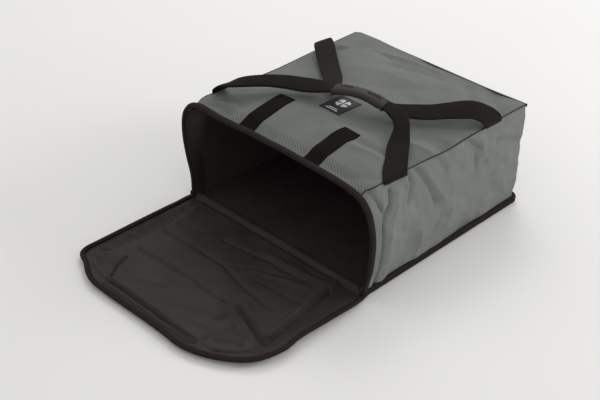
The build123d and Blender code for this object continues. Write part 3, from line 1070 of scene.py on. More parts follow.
LINING_FOLDS = [
    # Seams of the quilting across the flap.
    ([(-128, -284), (-56, -279), (-3, -280), (64, -296), (126, -304)], 3.4, -3.2),
    ([(-118, -341), (-11, -334), (60, -338)], 3.4, -3.0),
    ([(84, -331), (124, -347), (160, -362), (176, -380)], 3.6, -6.7),
    ([(92, -322), (130, -338), (160, -350)], 5.1, 2.9),
    ([(60, -338), (84, -331)], 3.4, -3.5),
    # The line along the far edge.
    ([(-92, -422), (5, -425), (104, -430)], 2.0, -4.6),
    ([(-92, -416), (5, -419), (104, -424)], 3.4, 1.8),
    # Crumples in the left border.
    ([(-168, -384), (-150, -372)], 3.0, -5.0),
    ([(-166, -352), (-148, -358)], 3.6, -5.0),
    ([(-168, -330), (-150, -318)], 3.0, 4.0),
    ([(-166, -300), (-146, -306)], 3.4, -4.6),
    ([(-164, -268), (-144, -256)], 3.4, -4.6),
    ([(-166, -240), (-148, -246)], 3.0, 4.0),
    ([(-160, -218), (-144, -224)], 3.4, -4.0),
    # The soft dent and swell of the near left corner.
    ([(-150, -398), (-126, -412)], 5.0, -3.4),
    ([(-140, -384), (-122, -392)], 5.0, 2.8),
    ([(-116, -368), (-108, -392), (-92, -418)], 2.0, -4.0),
    # The line along the right border.
    ([(167, -366), (161, -321), (154, -280), (149, -244), (145, -209)], 2.2, -7.5),
    ([(160, -356), (155, -318), (148, -280), (143, -244), (139, -214)], 3.4, 2.2),
    # Creases that fan out from the hinge's right end.
    ([(-3, -280), (38, -252), (90, -227)], 3.4, -2.4),
    ([(-46, -236), (27, -225), (104, -221)], 4.2, -2.4),
    ([(20, -262), (70, -246), (120, -232)], 4.2, 1.6),
    ([(-127, -254), (-96, -244)], 3.4, -2.6),
    ([(30, -214), (100, -208), (146, -206)], 5.1, 1.9),
    ([(60, -270), (110, -268), (150, -262)], 5.1, -1.9),
    # The rumpled near corner.
    ([(104, -421), (116, -368)], 4.2, -3.5),
    ([(82, -374), (96, -340)], 3.8, -3.2),
    ([(120, -404), (150, -384)], 4.2, 3.2),
    ([(60, -402), (96, -392)], 5.1, 2.2),
    ([(132, -366), (150, -392)], 4.2, -2.9),
    ([(70, -352), (104, -356), (128, -372)], 4.2, 2.6),
    ([(20, -398), (60, -380), (88, -366)], 6.0, -2.2),
    ([(-60, -392), (-20, -372)], 6.8, 1.6),
]


def pad_right(x_right, y):
    """Where the flap's right border begins, left of its edge at x_right."""
    return np.minimum(np.interp(y, [-366.0, -209.0], [168.0, 146.0]), x_right - BORDER)


def flap_floor(x, y):
    """The height of the underside of the flap: it lifts with its edges."""
    x_left, z_left = edge_at(LEFT_EDGE, y)
    x_right, z_right = edge_at(RIGHT_EDGE, y)
    lift_left = (z_left - 2.5) * smoothstep(x_left + 20, x_left, x)
    lift_right = (z_right - 2.5) * smoothstep(pad_right(x_right, y) - 2, x_right, x)
    lift_far = FAR_EDGE_LIFT * smoothstep(FLAP_FAR_Y + BORDER + 4, FLAP_FAR_Y + 3, y)
    return 0.4 + np.clip(np.maximum(np.maximum(lift_left, lift_right), lift_far), 0, None)


def flap_pad(x, y):
    """How full the flap is: 1 over its foam, less over its border, 0 at its edge."""
    wobble = cloth_noise(x, y, 40, 31) * 2.0
    x_left, _ = edge_at(LEFT_EDGE, y)
    x_right, _ = edge_at(RIGHT_EDGE, y)
    left = smoothstep(x_left + BORDER - 3, x_left + BORDER + 9, x + wobble)
    inside = pad_right(x_right, y)
    right = smoothstep(inside + 2, inside - 5, x + wobble * 0.4)
    far = smoothstep(FLAP_FAR_Y + BORDER - 4, FLAP_FAR_Y + BORDER + 3, y + wobble * 0.4)
    foam = left * right * far
    from_edge = np.minimum(np.minimum(x - x_left, x_right - x), y - FLAP_FAR_Y)
    border = smoothstep(3, 14, from_edge) * (0.15 + 0.45 * smoothstep(-366, -404, y))
    return foam + (1 - foam) * border


def lining_height(x, y):
    """The lining's upper face over the base and the flap."""
    outside = smoothstep(Y_FRONT + 4, Y_FRONT - 10, y)
    pad = flap_pad(x, y) * outside + (1 - outside)
    floor = flap_floor(x, y) * outside
    z = floor + LINING_CLEAR + pad * (PANEL - LINING_CLEAR)
    ripples = cloth_noise(x, y, 46, 32) * 1.5 + cloth_noise(x, y * 1.3, 21, 33) * 0.9
    rumple = folds(x, y, LINING_FOLDS) + ripples
    z = z + rumple * outside * (0.35 + 0.65 * pad)
    # The roll along the opening, and the hinge's valley before the flap.
    z = z + 1.8 * hump(y - Y_FRONT - 7, 5.0)
    z = z - 3.6 * hump(y - FLAP_HINGE_Y - 1, 3.4)
    return np.maximum(z, floor + LINING_CLEAR)


def cloth_edges(y, inset, overlap):
    """A cloth's left and right edge: at the bag's outline or inside it, then out at the flap's edges."""
    share = smoothstep(Y_FRONT + 6, Y_FRONT - 6, y)
    in_bag = outline_half(y, inset) + overlap
    left = edge_at(LEFT_EDGE, y)[0] + 1.0
    right = edge_at(RIGHT_EDGE, y)[0] - 1.0
    return -in_bag * (1 - share) + left * share, in_bag * (1 - share) + right * share


def make_floor_cloth(name, y_values, edges, height, thickness, material, up):
    """A sheet over the base or the flap; up says whether its outer face is its upper one."""
    y, u = np.meshgrid(y_values, bunched(210), indexing="ij")
    x_left, x_right = cloth_edges(y, *edges)
    x = x_left + (x_right - x_left) * (u + 1) / 2
    grid = np.stack([x, y, height(x, y)], -1)
    if not up:
        grid = grid[:, ::-1]
    uv = np.stack([grid[..., 0], grid[..., 1]], -1)
    lower = grid.copy()
    lower[..., 2] -= thickness if up else -thickness
    return slab(name, grid, lower, uv, material)


def bend_at_flap_hinge(obj):
    """Bakes a piece's transform into its mesh."""
    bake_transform(obj)


def bend_at_tip_hinge(obj):
    """Bakes a piece's transform into its mesh."""
    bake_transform(obj)


def make_base_and_flap():
    """The shell and the lining that run from the base out over the flap, in two lengths."""
    fine_from = -175.0
    base_rows = [edged(fine_from, Y_BACK, 4.0), np.arange(FLAP_SPLIT_Y, fine_from, 1.7)]
    base_rows = np.sort(np.concatenate(base_rows))
    tip_rows = np.arange(FLAP_FAR_Y + 1.0, FLAP_SPLIT_Y, 1.6)
    tip_rows = np.append(tip_rows, FLAP_SPLIT_Y)
    inner_rows = base_rows[base_rows < Y_BACK - PANEL]
    # For each pair of cloths: how far inside the bag's outline it ends, and how far it laps into the walls.
    outer = (0.0, 0.0)
    inner = (PANEL, 0.5)
    out_face = (flap_floor, SHELL, M_SHELL, False)
    in_face = (lining_height, LINING_THICKNESS, M_LINING, True)

    shell = make_floor_cloth("base_and_flap_shell", base_rows, outer, *out_face)
    bend_at_flap_hinge(shell)
    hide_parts("base_shell", "flap_shell")

    tip_shell = make_floor_cloth("flap_and_tip_shell", tip_rows, outer, *out_face)
    bend_at_tip_hinge(tip_shell)
    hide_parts("tip_shell")

    lining = make_floor_cloth("base_and_flap_lining", inner_rows, inner, *in_face)
    bend_at_flap_hinge(lining)
    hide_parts("base_lining", "flap_lining")

    tip_lining = make_floor_cloth("flap_and_tip_lining", tip_rows, inner, *in_face)
    bend_at_tip_hinge(tip_lining)
    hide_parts("tip_lining")


def dressed_as_foam(pad, body, node):
    """Hangs a foam pad on a body and hides the CAD node that it stands for."""
    dressed(pad, "foam", body, node)


def foam_floor_pad(name, node, body, y_low, y_high):
    """A foam pad under the lining, of the base or the flap."""
    on_flap = y_low < Y_FRONT
    rows = np.linspace(y_low, y_high, round((y_high - y_low) / 3.2))
    y, u = np.meshgrid(rows, bunched(110), indexing="ij")
    half = np.minimum(outline_half(y, PANEL), cad_box(node)[1][0])
    if on_flap:
        # The flap's pads are narrower, and narrower still at the cut corners.
        full = FLAP_HALF - BORDER - 18
        half = np.interp(y, [FLAP_FAR_Y + BORDER, FLAP_FAR_Y + 48], [FLAP_HALF - 90, full])
    x = u * half
    edge = smoothstep(y_low, y_low + 8, y) * smoothstep(y_high, y_high - 8, y)
    edge = edge * smoothstep(1.0, 0.95, np.abs(u))
    high = FOAM_SPAN[1] - 1.2 - 4.0 * (1 - edge) + cloth_noise(x, y, 30, 41) * 0.3
    low = np.full_like(x, FOAM_SPAN[0] + 0.3)
    if on_flap:
        low = flap_floor(x, y) + SHELL + 0.05
        room = lining_height(x, y) - 1.1 - low
        high = low + np.clip(np.minimum(high - low, room - 2.5), 0.15, room)
    upper = np.stack([x, y, high], -1)
    lower = np.stack([x, y, low], -1)
    pad = slab(name, upper, lower, np.stack([x, y], -1), M_FOAM)
    dressed_as_foam(pad, body, node)


def foam_faces(smooth, wrinkled):
    """A pad's two faces under a panel: it gives way where the panel is folded inwards."""
    away = outward(smooth)
    fold_depth = -((wrinkled - smooth) * away).sum(-1)
    outer = np.clip(fold_depth + SHELL + 1.6, FOAM_SPAN[0] + 2.0, FOAM_SPAN[1] - 1.2)
    inner = np.full_like(outer, FOAM_SPAN[1] - 0.5)
    return smooth - away * outer[..., None], smooth - away * inner[..., None]


def wall_pad(name, node, keep):
    """A foam pad inside the side band; keep picks its stretch of the outline."""
    path, away = plan_path(step=4.0)
    chosen = keep(path)
    path = path[chosen]
    away = away[chosen]
    heights = np.linspace(PANEL + 1.5, SEAM_Z - PANEL - 3.0, 50) / SEAM_Z
    face = side_grid(path, away, heights, wrinkled=False)
    outer, inner = foam_faces(face, side_grid(path, away, heights))
    pad = slab(name, outer, inner, panel_uv(run_lengths(path), heights * SEAM_Z), M_FOAM)
    dressed_as_foam(pad, "bag", node)


def make_foam():
    """All the foam pads, inside the cloth."""
    foam_floor_pad("base_foam_pad", "base_foam", "bag", Y_FRONT + 8, Y_BACK - PANEL)
    foam_floor_pad("flap_foam_pad", "flap_foam", "flap_front", TIP_HINGE_Y + 4, FLAP_HINGE_Y - 6)
    foam_floor_pad("tip_foam_pad", "tip_foam", "flap_tip", FLAP_FAR_Y + BORDER + 3, TIP_HINGE_Y - 4)
    rear = Y_BACK - CORNER_RADIUS
    front = Y_FRONT + RIM_REACH - 4

    def on_side(path, side):
        return (path[:, 0] * side > 0) & (path[:, 1] < rear) & (path[:, 1] > front)

    def on_back(path):
        return (path[:, 1] > Y_BACK - 1) & (np.abs(path[:, 0]) < HALF_BACK - CORNER_RADIUS)

    wall_pad("left_side_foam_pad", "left_side_foam", lambda path: on_side(path, -1))
    wall_pad("right_side_foam_pad", "right_side_foam", lambda path: on_side(path, 1))
    wall_pad("back_foam_pad", "back_foam", on_back)
    across = np.linspace(-0.94, 0.94, 110)
    back = np.linspace(front, Y_BACK - PANEL - 2, 110)
    outer, inner = foam_faces(top_grid(across, back, wrinkled=False), top_grid(across, back))
    pad = slab("top_foam_pad", outer, inner, panel_uv(across * HALF_FRONT, back), M_FOAM)
    dressed_as_foam(pad, "bag", "top_foam")


def make_wall_lining():
    """The black lining of the walls."""
    path, away = plan_path(step=4.0)
    # At the rim it reaches up to the binding, and behind it only up to the top's lining.
    head_at_rim = SEAM_Z - 2.0
    head_behind = SEAM_Z - PANEL + 1.5
    heights = np.linspace(PANEL - 2.0, head_at_rim, 52) / SEAM_Z
    face = side_grid(path, away, heights, wrinkled=False)
    slack = cloth_noise(run_lengths(path)[None], heights[:, None] * SEAM_Z, 34, 51) * 0.7
    near = rim_share(path[:, 1])[None, :]
    distance = (LINING_SPAN[0] + 0.2 + slack) * (1 - near) + RIM_LINING_DEPTH * near
    face = face - outward(face) * distance[..., None]
    face[..., 2] *= near + (1 - near) * head_behind / head_at_rim
    uv = panel_uv(run_lengths(path), heights * SEAM_Z)
    lining = slab("side_band_lining", face, face - outward(face) * LINING_THICKNESS, uv, M_LINING)
    dressed(lining, "lining_nylon", "bag", "left_side_lining", "right_side_lining", "back_lining")


def make_top_lining():
    """The black lining of the top: at the rim it is as wide as the binding, and narrower behind it."""
    share_at_rim = 0.985
    share_behind = 0.955
    across = np.linspace(-share_at_rim, share_at_rim, 113)
    back = edged(Y_FRONT + 0.5, Y_BACK - PANEL + 1.0, 4.0)
    face = top_grid(across, back, wrinkled=False)
    near = rim_share(face[..., 1])
    distance = (LINING_SPAN[0] + 0.2) * (1 - near) + RIM_LINING_DEPTH * near
    distance = distance + cloth_noise(face[..., 0], face[..., 1], 40, 52) * (1 - near)
    face = face - outward(face) * distance[..., None]
    face[..., 0] *= near + (1 - near) * share_behind / share_at_rim
    uv = panel_uv(across * HALF_FRONT, back)
    top = slab("top_lining_sheet", face, face - outward(face) * LINING_THICKNESS, uv, M_LINING)
    dressed(top, "lining_nylon", "bag", "top_lining")


# ---------------------------------------------------------------- tapes


def rim_line():
    """The opening's rim from its left foot over the top to its right foot."""
    shares = np.linspace(0, 1, 60)
    left = along(RIM_LEFT, shares)
    right = along(RIM_RIGHT, shares)
    top = along(RIM_TOP, np.linspace(0, 1, 120))
    left_x = -HALF_FRONT - left[:, 0]
    right_x = HALF_FRONT + right[:, 0]
    x = np.concatenate([left_x, top[1:-1, 0], right_x[::-1]])
    z = np.concatenate([left[:, 1], SEAM_Z + top[1:-1, 1], right[::-1, 1]])
    return np.stack([x, np.full_like(x, Y_FRONT + 1.5), z], -1)


def make_opening_binding(stitches):
    """The tape round the opening's edge, folded over the shell and the lining."""
    line = rim_line()
    wobble = cloth_noise(run_lengths(line), 0 * line[:, 0], 30, 61)[:, None] * np.array([0.0, 0.8, 0.0])
    path = line + wobble
    inner = np.cross(directions(path), np.array([0.0, 1.0, 0.0]))
    path = path + inner * 1.8
    binding = bead("opening_binding_tape", path, inner, oval(6.6, 10.2, 16, 3.0), M_TAPE)
    dressed(binding, "binding_tape", "bag", "opening_binding")
    stitches.row(path + np.array([0, 3.4, 0]) - inner * 3.4, -inner)


def make_base_binding(stitches):
    """The tape round the base's sides and back."""
    path, away = plan_path(inset=-3.4)
    low, high = cad_box("base_binding")
    middle = (low[2] + high[2]) / 2 + 0.8
    keep = path[:, 1] > Y_FRONT + 1
    path = path[keep]
    away = away[keep]
    lengths = run_lengths(path)
    sway = cloth_noise(lengths, 0 * lengths, 45, 62)
    line = np.column_stack([path + away * sway[:, None] * 0.5, middle + sway * 0.5])
    side = np.column_stack([away, np.zeros(len(away))])
    binding = bead("base_binding_tape", line, side, oval(6.6, high[2] - low[2] + 0.8, 16, 2.8), M_TAPE)
    dressed(binding, "binding_tape", "bag", "base_binding")
    stitches.row(line + side * 3.2 + np.array([0, 0, 2.4]), side)


def make_corner_tape_end():
    """The folded tape end that stands out at the top right back corner."""
    low, high = cad_box("corner_tape_end")
    middle = (low + high) / 2
    z = seam_height(np.array(HALF_BACK), np.array(Y_BACK)) - 3.0
    place = middle[:2] + CORNER_PULL / math.sqrt(2)
    steps = np.arange(6)
    path = np.stack([place[0] - 5.0 + steps * 1.7, place[1] - 7.5 + 0.9 * steps, z + 0.4 * np.sin(steps)], -1)
    side = np.tile([0.0, 1.0, 0.0], (len(steps), 1))
    end = bead("corner_tape_tab", path, side, oval(3.0, 5.0, 12, 3.2), M_TAPE)
    dressed(end, "binding_tape", "bag", "corner_tape_end")


def make_flap_binding(flap_stitches, tip_stitches):
    """The tape round the flap's free edges: left and right at the hinge, then round the tip."""
    section = oval(7.4, 6.0, 16, 2.6)
    lift = np.array([0, 0, 1.4])
    tip_line = []
    for side, word, edge in ((-1, "left", LEFT_EDGE), (1, "right", RIGHT_EDGE)):
        near = edge[edge[:, 1] >= FLAP_SPLIT_Y - 1.0] + lift
        far = edge[edge[:, 1] <= FLAP_SPLIT_Y] + lift
        away = np.tile([float(side), 0.0, 0.0], (len(near), 1))
        tape = bead(f"flap_edge_tape_{word}", near, away, section, M_TAPE)
        bend_at_flap_hinge(tape)
        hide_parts(f"flap_binding_{word}")
        on_flap = near[near[:, 1] < FLAP_HINGE_Y - 14]
        flap_stitches.row(on_flap + np.array([-side * 2.2, 0, 2.9]), (0, 0, 1))
        tip_line.append(far)
    line = np.concatenate([tip_line[0], tip_line[1][::-1]])
    line = along(np.concatenate([line[::6], line[-1:]]), np.linspace(0, 1, 320))
    away = np.cross(directions(line), np.array([0.0, 0.0, 1.0]))
    tape = bead("tip_edge_tape", line, away, section, M_TAPE)
    bend_at_tip_hinge(tape)
    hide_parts("tip_binding")
    inside = line - away * 2.2 + np.array([0, 0, 2.9])
    tip_stitches.row(inside[inside[:, 1] < TIP_HINGE_Y - 16], (0, 0, 1))


def patch_stations(start, end):
    """Places over a patch's length or width, closer together at both ends."""
    inner = np.linspace(start + 1.6, end - 1.6, max(6, round((end - start) / 2.5)))
    return np.concatenate([[start, start + 0.6], inner, [end - 0.6, end]])


def patch_on(name, x_span, y_span, height, lift, thickness, material):
    """A patch of tape or cloth that follows a surface."""
    x0, x1 = x_span
    y0, y1 = y_span
    y, x = np.meshgrid(patch_stations(y0, y1), patch_stations(x0, x1), indexing="ij")
    edge = np.minimum(np.minimum(x - x0, x1 - x), np.minimum(y - y0, y1 - y))
    round_over = 0.45 * thickness * hump(np.clip(edge, 0, None), 0.7)
    base = height(x, y) + lift
    upper = np.stack([x, y, base + thickness - round_over], -1)
    lower = np.stack([x, y, base], -1)
    return slab(name, upper, lower, np.stack([y, x], -1), material)


def patch_border(x_span, y_span, inset, height, lift):
    """A closed line just inside a patch's edge, on its surface."""
    x0, x1 = x_span[0] + inset, x_span[1] - inset
    y0, y1 = y_span[0] + inset, y_span[1] - inset
    corners = [(x0, y0), (x1, y0), (x1, y1), (x0, y1), (x0, y0)]
    line = []
    for (xa, ya), (xb, yb) in zip(corners, corners[1:]):
        for share in np.linspace(0, 1, 20, endpoint=False):
            line.append((xa + (xb - xa) * share, ya + (yb - ya) * share))
    line = np.array(line + [corners[0]])
    z = height(line[:, 0], line[:, 1]) + lift
    return np.column_stack([line, z])


def make_loop_strips(stitches):
    """The two strips on the top that the tip's hook tape meets."""
    for word in ("left", "right"):
        low, high = cad_box(f"loop_strip_{word}")
        spans = ((low[0], high[0]), (low[1] + 2.0, high[1]))
        strip = patch_on(f"loop_tape_{word}", *spans, top_surface, 0.1, 1.9, M_LOOP)
        dressed(strip, "loop_tape", "bag", f"loop_strip_{word}")
        stitches.row(patch_border(*spans, 1.9, top_surface, 1.9), (0, 0, 1))


def make_label(stitches):
    """The woven label, with stitches round it."""
    low, high = cad_box("label_patch")
    spans = ((low[0], high[0]), (low[1], high[1]))
    label = patch_on("label_cloth_patch", *spans, top_surface, 0.1, 0.9, M_LABEL)
    dressed(label, "label_cloth", "bag", "label_patch")
    stitches.row(patch_border(*spans, 1.6, top_surface, 0.9), (0, 0, 1))


def make_label_mark():
    """A plain disc cut in four and two blank bars, embroidered on the label."""
    low, high = cad_box("label_mark")
    middle_x, middle_y = ((low + high) / 2)[:2]
    centre = np.array([middle_x, middle_y + 6.0])
    radius = (high[0] - low[0]) / 2 + 1.5
    points = []
    faces = []
    for k in range(4):
        start = math.radians(90 * k + 12)
        end = math.radians(90 * k + 84)
        middle = (start + end) / 2
        offset = np.array([math.cos(middle), math.sin(middle)]) * 1.1
        outline = [np.zeros(2)]
        outline += [np.array([math.cos(a), math.sin(a)]) * radius for a in np.linspace(start, end, 10)]
        add_prism(points, faces, [p + offset + centre for p in outline])
    first_bar_y = cad_box("label_patch")[0][1] + 6.0
    for y, half in ((first_bar_y, 11.0), (first_bar_y + 4.0, 8.0)):
        left = middle_x - half
        right = middle_x + half
        add_prism(points, faces, [(left, y - 0.7), (right, y - 0.7), (right, y + 0.7), (left, y + 0.7)])
    points = np.array(points)
    corners = np.concatenate([points[f] for f in faces])[:, :2] * MM
    mark = new_object("label_mark_embroidery", points, faces, corners, M_MARK)
    dressed(mark, "label_thread", "bag", "label_mark")


def add_prism(points, faces, outline):
    """Adds a thin raised shape on the label, from its outline in plan."""
    first = len(points)
    count = len(outline)
    for lift in (0.6, 1.35):
        for x, y in outline:
            points.append((x, y, float(top_surface(np.array(x), np.array(y))) + lift))
    faces.append(list(range(first + count, first + 2 * count)))
    faces.append(list(range(first + count - 1, first - 1, -1)))
    for j in range(count):
        k = (j + 1) % count
        faces.append([first + j, first + k, first + count + k, first + count + j])


def make_hook_tape(stitches):
    """The hook tape inside the tip."""
    low, high = cad_box("tip_hook_tape")
    spans = ((low[0], high[0] + 6.0), (low[1], high[1]))
    tape = patch_on("tip_hook_strip", *spans, lining_height, -0.3, 0.8, M_HOOK)
    dressed(tape, "hook_tape", "flap_tip", "tip_hook_tape")
    stitches.row(patch_border(*spans, 1.6, lining_height, 0.8), (0, 0, 1))


# ---------------------------------------------------------------- the handle

GRIP_LOW, GRIP_HIGH = cad_box("grip_sleeve")
GRIP_CENTRE = np.array([*((GRIP_LOW + GRIP_HIGH) / 2)[:2], GRIP_LOW[2]]) + (1, 0, 12.3)
GRIP_TURN = math.radians(12.0)
GRIP_ALONG = np.array([math.cos(GRIP_TURN), math.sin(GRIP_TURN), 0.0])
GRIP_ACROSS = np.array([-math.sin(GRIP_TURN), math.cos(GRIP_TURN), 0.0])
GRIP_LENGTH = 89.0
GRIP_ARCH = 8.0
GRIP_WIDTH = 26.5
GRIP_HEIGHT = 13.5
# The middles of the two groups of grooves, along the grip.
GRIP_RIB_GROUPS = (-23.5, 23.5)
GRIP_RIB_SPACING = 4.4


def grip_point(distance, across=0.0, up=0.0):
    """A place on the grip: along it from its middle, across it and above its middle line."""
    share = distance / (GRIP_LENGTH / 2)
    arch = GRIP_ARCH * (0.55 - np.asarray(share) ** 2)
    place = GRIP_CENTRE + np.multiply.outer(np.asarray(distance, float), GRIP_ALONG)
    place = place + np.multiply.outer(np.asarray(across, float), GRIP_ACROSS)
    place = place + np.multiply.outer(np.asarray(up + arch, float), np.array([0.0, 0.0, 1.0]))
    return place


# Each arm of the straps from its seam to the grip: centre, direction of its width, width, thickness.
ARMS = {
    "strap_front_left": [
        ((-174.0, -127.0, 172.0), (0.0, 1.0, 0.0), 30, 2.2),
        ((-174.0, -129.0, 179.0), (0.0, 1.0, 0.0), 28, 2.2),
        ((-168.0, -132.0, 184.5), (0.0, 1.0, -0.1), 26, 2.6),
        ((-158.0, -134.0, 191.5), (-0.12, 0.96, -0.26), 25, 3.4),
        ((-146.0, -132.0, 198.0), (-0.35, 0.92, -0.1), 24, 3.8),
        ((-128.0, -120.0, 204.5), (-0.66, 0.74, 0.14), 24, 3.8),
        ((-107.0, -99.0, 207.0), (-0.7, 0.66, 0.24), 25, 3.8),
        ((-82.0, -80.0, 208.0), (-0.62, 0.73, 0.27), 28, 3.8),
        ((-56.0, -66.0, 208.5), (-0.52, 0.82, 0.25), 30, 3.8),
        ((-36.0, -53.0, 208.5), (-0.4, 0.88, 0.2), 28, 3.8),
    ],
    "strap_rear_left": [
        ((-174.0, 99.0, 170.0), (0.0, 1.0, 0.0), 33, 2.0),
        ((-175.0, 98.0, 178.0), (0.0, 1.0, 0.0), 33, 2.0),
        ((-170.0, 95.0, 185.0), (0.12, 0.99, 0.0), 33, 2.0),
        ((-156.0, 83.0, 188.0), (0.45, 0.89, 0.0), 34, 2.0),
        ((-122.0, 54.0, 188.5), (0.6, 0.8, 0.0), 33, 2.2),
        ((-90.0, 27.0, 190.5), (0.66, 0.75, 0.0), 32, 2.4),
        ((-58.0, 0.0, 195.5), (0.64, 0.77, 0.0), 30, 2.8),
        ((-34.0, -24.0, 201.0), (0.4, 0.92, 0.0), 27, 3.2),
    ],
    "strap_front_right": [
        ((177.0, -118.0, 169.0), (-0.02, 1.0, -0.11), 50, 2.2),
        ((173.5, -116.0, 174.5), (0.04, 1.0, -0.04), 49, 2.2),
        ((165.0, -107.0, 178.0), (0.2, 0.98, 0.0), 45, 2.2),
        ((150.0, -87.0, 182.0), (0.46, 0.88, 0.06), 36, 2.2),
        ((132.0, -63.0, 187.5), (0.6, 0.78, 0.12), 33, 2.4),
        ((123.0, -50.0, 192.5), (0.58, 0.8, 0.2), 29, 3.0),
        ((114.0, -37.0, 198.0), (0.5, 0.84, 0.24), 25, 3.8),
        ((100.0, -27.0, 203.5), (0.14, 0.97, 0.18), 26, 3.8),
        ((86.0, -25.0, 207.5), (-0.12, 0.98, 0.12), 26, 3.8),
    ],
    "strap_rear_right": [
        ((175.0, 104.0, 171.0), (0.0, 1.0, 0.0), 37, 2.0),
        ((176.5, 102.0, 176.5), (-0.05, 1.0, 0.1), 37, 2.0),
        ((174.0, 96.0, 184.0), (-0.2, 0.95, 0.22), 39, 2.0),
        ((166.0, 89.0, 191.0), (-0.42, 0.87, 0.24), 39, 2.0),
        ((155.0, 79.0, 196.0), (-0.55, 0.76, 0.32), 36, 2.2),
        ((144.0, 64.0, 198.0), (-0.6, 0.7, 0.36), 34, 2.4),
        ((130.0, 46.0, 197.5), (-0.6, 0.73, 0.32), 32, 2.6),
        ((114.0, 25.0, 196.5), (-0.52, 0.8, 0.3), 31, 3.0),
        ((98.0, 7.0, 198.0), (-0.5, 0.8, 0.28), 29, 3.2),
        ((84.0, -12.0, 202.5), (-0.35, 0.92, 0.2), 26, 3.6),
    ],
}


def ribbon(name, rows, material, count=110):
    """A strap through rows of (centre, direction of width, width, thickness)."""
    centres = np.array([row[0] for row in rows], float)
    widths = unit(np.array([row[1] for row in rows], float))
    sizes = np.array([row[2:4] for row in rows], float)
    lengths = run_lengths(centres)
    at = np.linspace(0, lengths[-1], count)
    centre = smooth_curve(lengths, centres, at)
    across = unit(smooth_curve(lengths, widths, at))
    size = smooth_curve(lengths, sizes, at)
    up = np.cross(directions(centre), across)
    up *= np.sign(up[len(up) // 2, 2])
    shares = np.concatenate([[-1.0, -0.97], np.linspace(-0.92, 0.92, 13), [0.97, 1.0]])
    middle = centre[:, None] + across[:, None] * (shares[None, :, None] * size[:, None, :1] / 2)
    bow = (1 - shares**2) * 0.8 + cloth_noise(at[:, None], shares[None] * 20, 26, len(name)) * 0.5
    edge = np.where(np.abs(shares) > 0.99, 0.45, np.where(np.abs(shares) > 0.95, 0.85, 1.0))
    lift = up[:, None] * (bow[..., None] + edge[None, :, None] * size[:, None, 1:] / 2)
    drop = up[:, None] * (bow[..., None] - edge[None, :, None] * size[:, None, 1:] / 2)
    uv = np.stack(np.broadcast_arrays(at[:, None], shares[None] * size[:, :1] / 2), -1)
    upper = middle + lift
    lower = middle + drop
    if np.cross(np.gradient(upper, axis=1), np.gradient(upper, axis=0))[count // 2, 8, 2] < 0:
        upper, lower, uv = upper[:, ::-1], lower[:, ::-1], uv[:, ::-1]
    return slab(name, upper, lower, uv, material)


def arm_rows(node):
    """An arm's stations, with the last one inside the grip's end."""
    side = -1 if node.endswith("left") else 1
    layer = 1.5 if "front" in node else -1.5
    end = grip_point(side * (GRIP_LENGTH / 2 - 4), 0.0, layer)
    return ARMS[node] + [(end, GRIP_ACROSS, 21, 2.8)]


def make_straps():
    """The four webbing arms, each from its seam on the bag to inside the grip's end."""
    for node in ARMS:
        rows = arm_rows(node)
        arm = ribbon(f"{node}_arm", rows, M_WEBBING)
        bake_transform(arm)
        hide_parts(node)


def make_bar_tacks():
    """Dense rows of thread that fasten each strap end at its seam."""
    points = []
    faces = []
    around = 6
    radius = 0.5
    # Each thread's rings: how far up it and how far out.
    rings = ((-1.4, 0.2), (0.0, 1.1), (1.4, 0.2))
    for rows in ARMS.values():
        centre = np.array(rows[0][0], float)
        side = math.copysign(1.0, centre[0])
        width = rows[0][2] - 10
        x = centre[0] + side * 0.8
        z = centre[2] + 2.4
        for share in np.linspace(0, 1, 26):
            y = centre[1] + width * (share - 0.5)
            faces += tube_faces(len(points), len(rings), around)
            for dz, dx in rings:
                for a in np.linspace(0, 2 * math.pi, around, endpoint=False):
                    points.append((x + side * dx + radius * math.cos(a), y + radius * math.sin(a), z + dz))
    points = np.array(points)
    corners = np.concatenate([points[f] for f in faces])[:, 1:] * MM
    tacks = new_object("strap_bar_tack_threads", points, faces, corners, M_THREAD)
    dressed(tacks, "thread", "bag", "strap_bar_tacks")


def make_grip():
    """The rubber sleeve, arched, with end collars and two groups of slanted grooves, and the straps in it."""
    half = GRIP_LENGTH / 2
    stations = np.linspace(-half, half, 240)
    section = oval(1.0, 1.0, 44, 2.2)
    rings = []
    for s in stations:
        waist = 0.15 * math.cos(math.pi * s / GRIP_LENGTH) ** 2
        collar = 0.14 * hump(half - abs(s) - 7, 1.8)
        end = 0.22 * smoothstep(half - 2.5, half, abs(s))
        size = 1.05 - waist - (collar + end)
        ring = []
        for a, b in section:
            nearest = min((s + 4.0 * a - middle for middle in GRIP_RIB_GROUPS), key=abs)
            place = nearest / GRIP_RIB_SPACING
            groove = 0.0
            if b > 0 and abs(place) < 2.5:
                over_top = smoothstep(-0.14, 0.0, a) * smoothstep(0.5, 0.45, a)
                groove = 3.4 * math.cos(math.pi * place) ** 2 * over_top
            ring.append(grip_point(s, a * GRIP_WIDTH * size, b * GRIP_HEIGHT * size - groove))
        rings.append(ring)
    rings = np.array(rings)
    inner = []
    slot = oval(22.5, 7.6, 44, 3.0)
    for s in (half, half - 2.0, 0.0, -half + 2.0, -half):
        inner.append([grip_point(s, a, b) for a, b in slot])
    rings = np.concatenate([rings, np.array(inner), rings[:1]])
    sleeve = tube("grip_sleeve_rubber", rings, M_RUBBER, capped=False)
    dressed(sleeve, "grip_rubber", "grip", "grip_sleeve")
    inside = np.linspace(-half + 6, half - 6, 7)
    for word, lift in (("front", 1.3), ("rear", -1.3)):
        rows = [(grip_point(s, 0.0, lift), GRIP_ACROSS, 19.0, 2.4) for s in inside]
        strap = ribbon(f"grip_strap_{word}_webbing", rows, M_WEBBING, 40)
        dressed(strap, "webbing", "grip", f"grip_strap_{word}")


# ---------------------------------------------------------------- studio


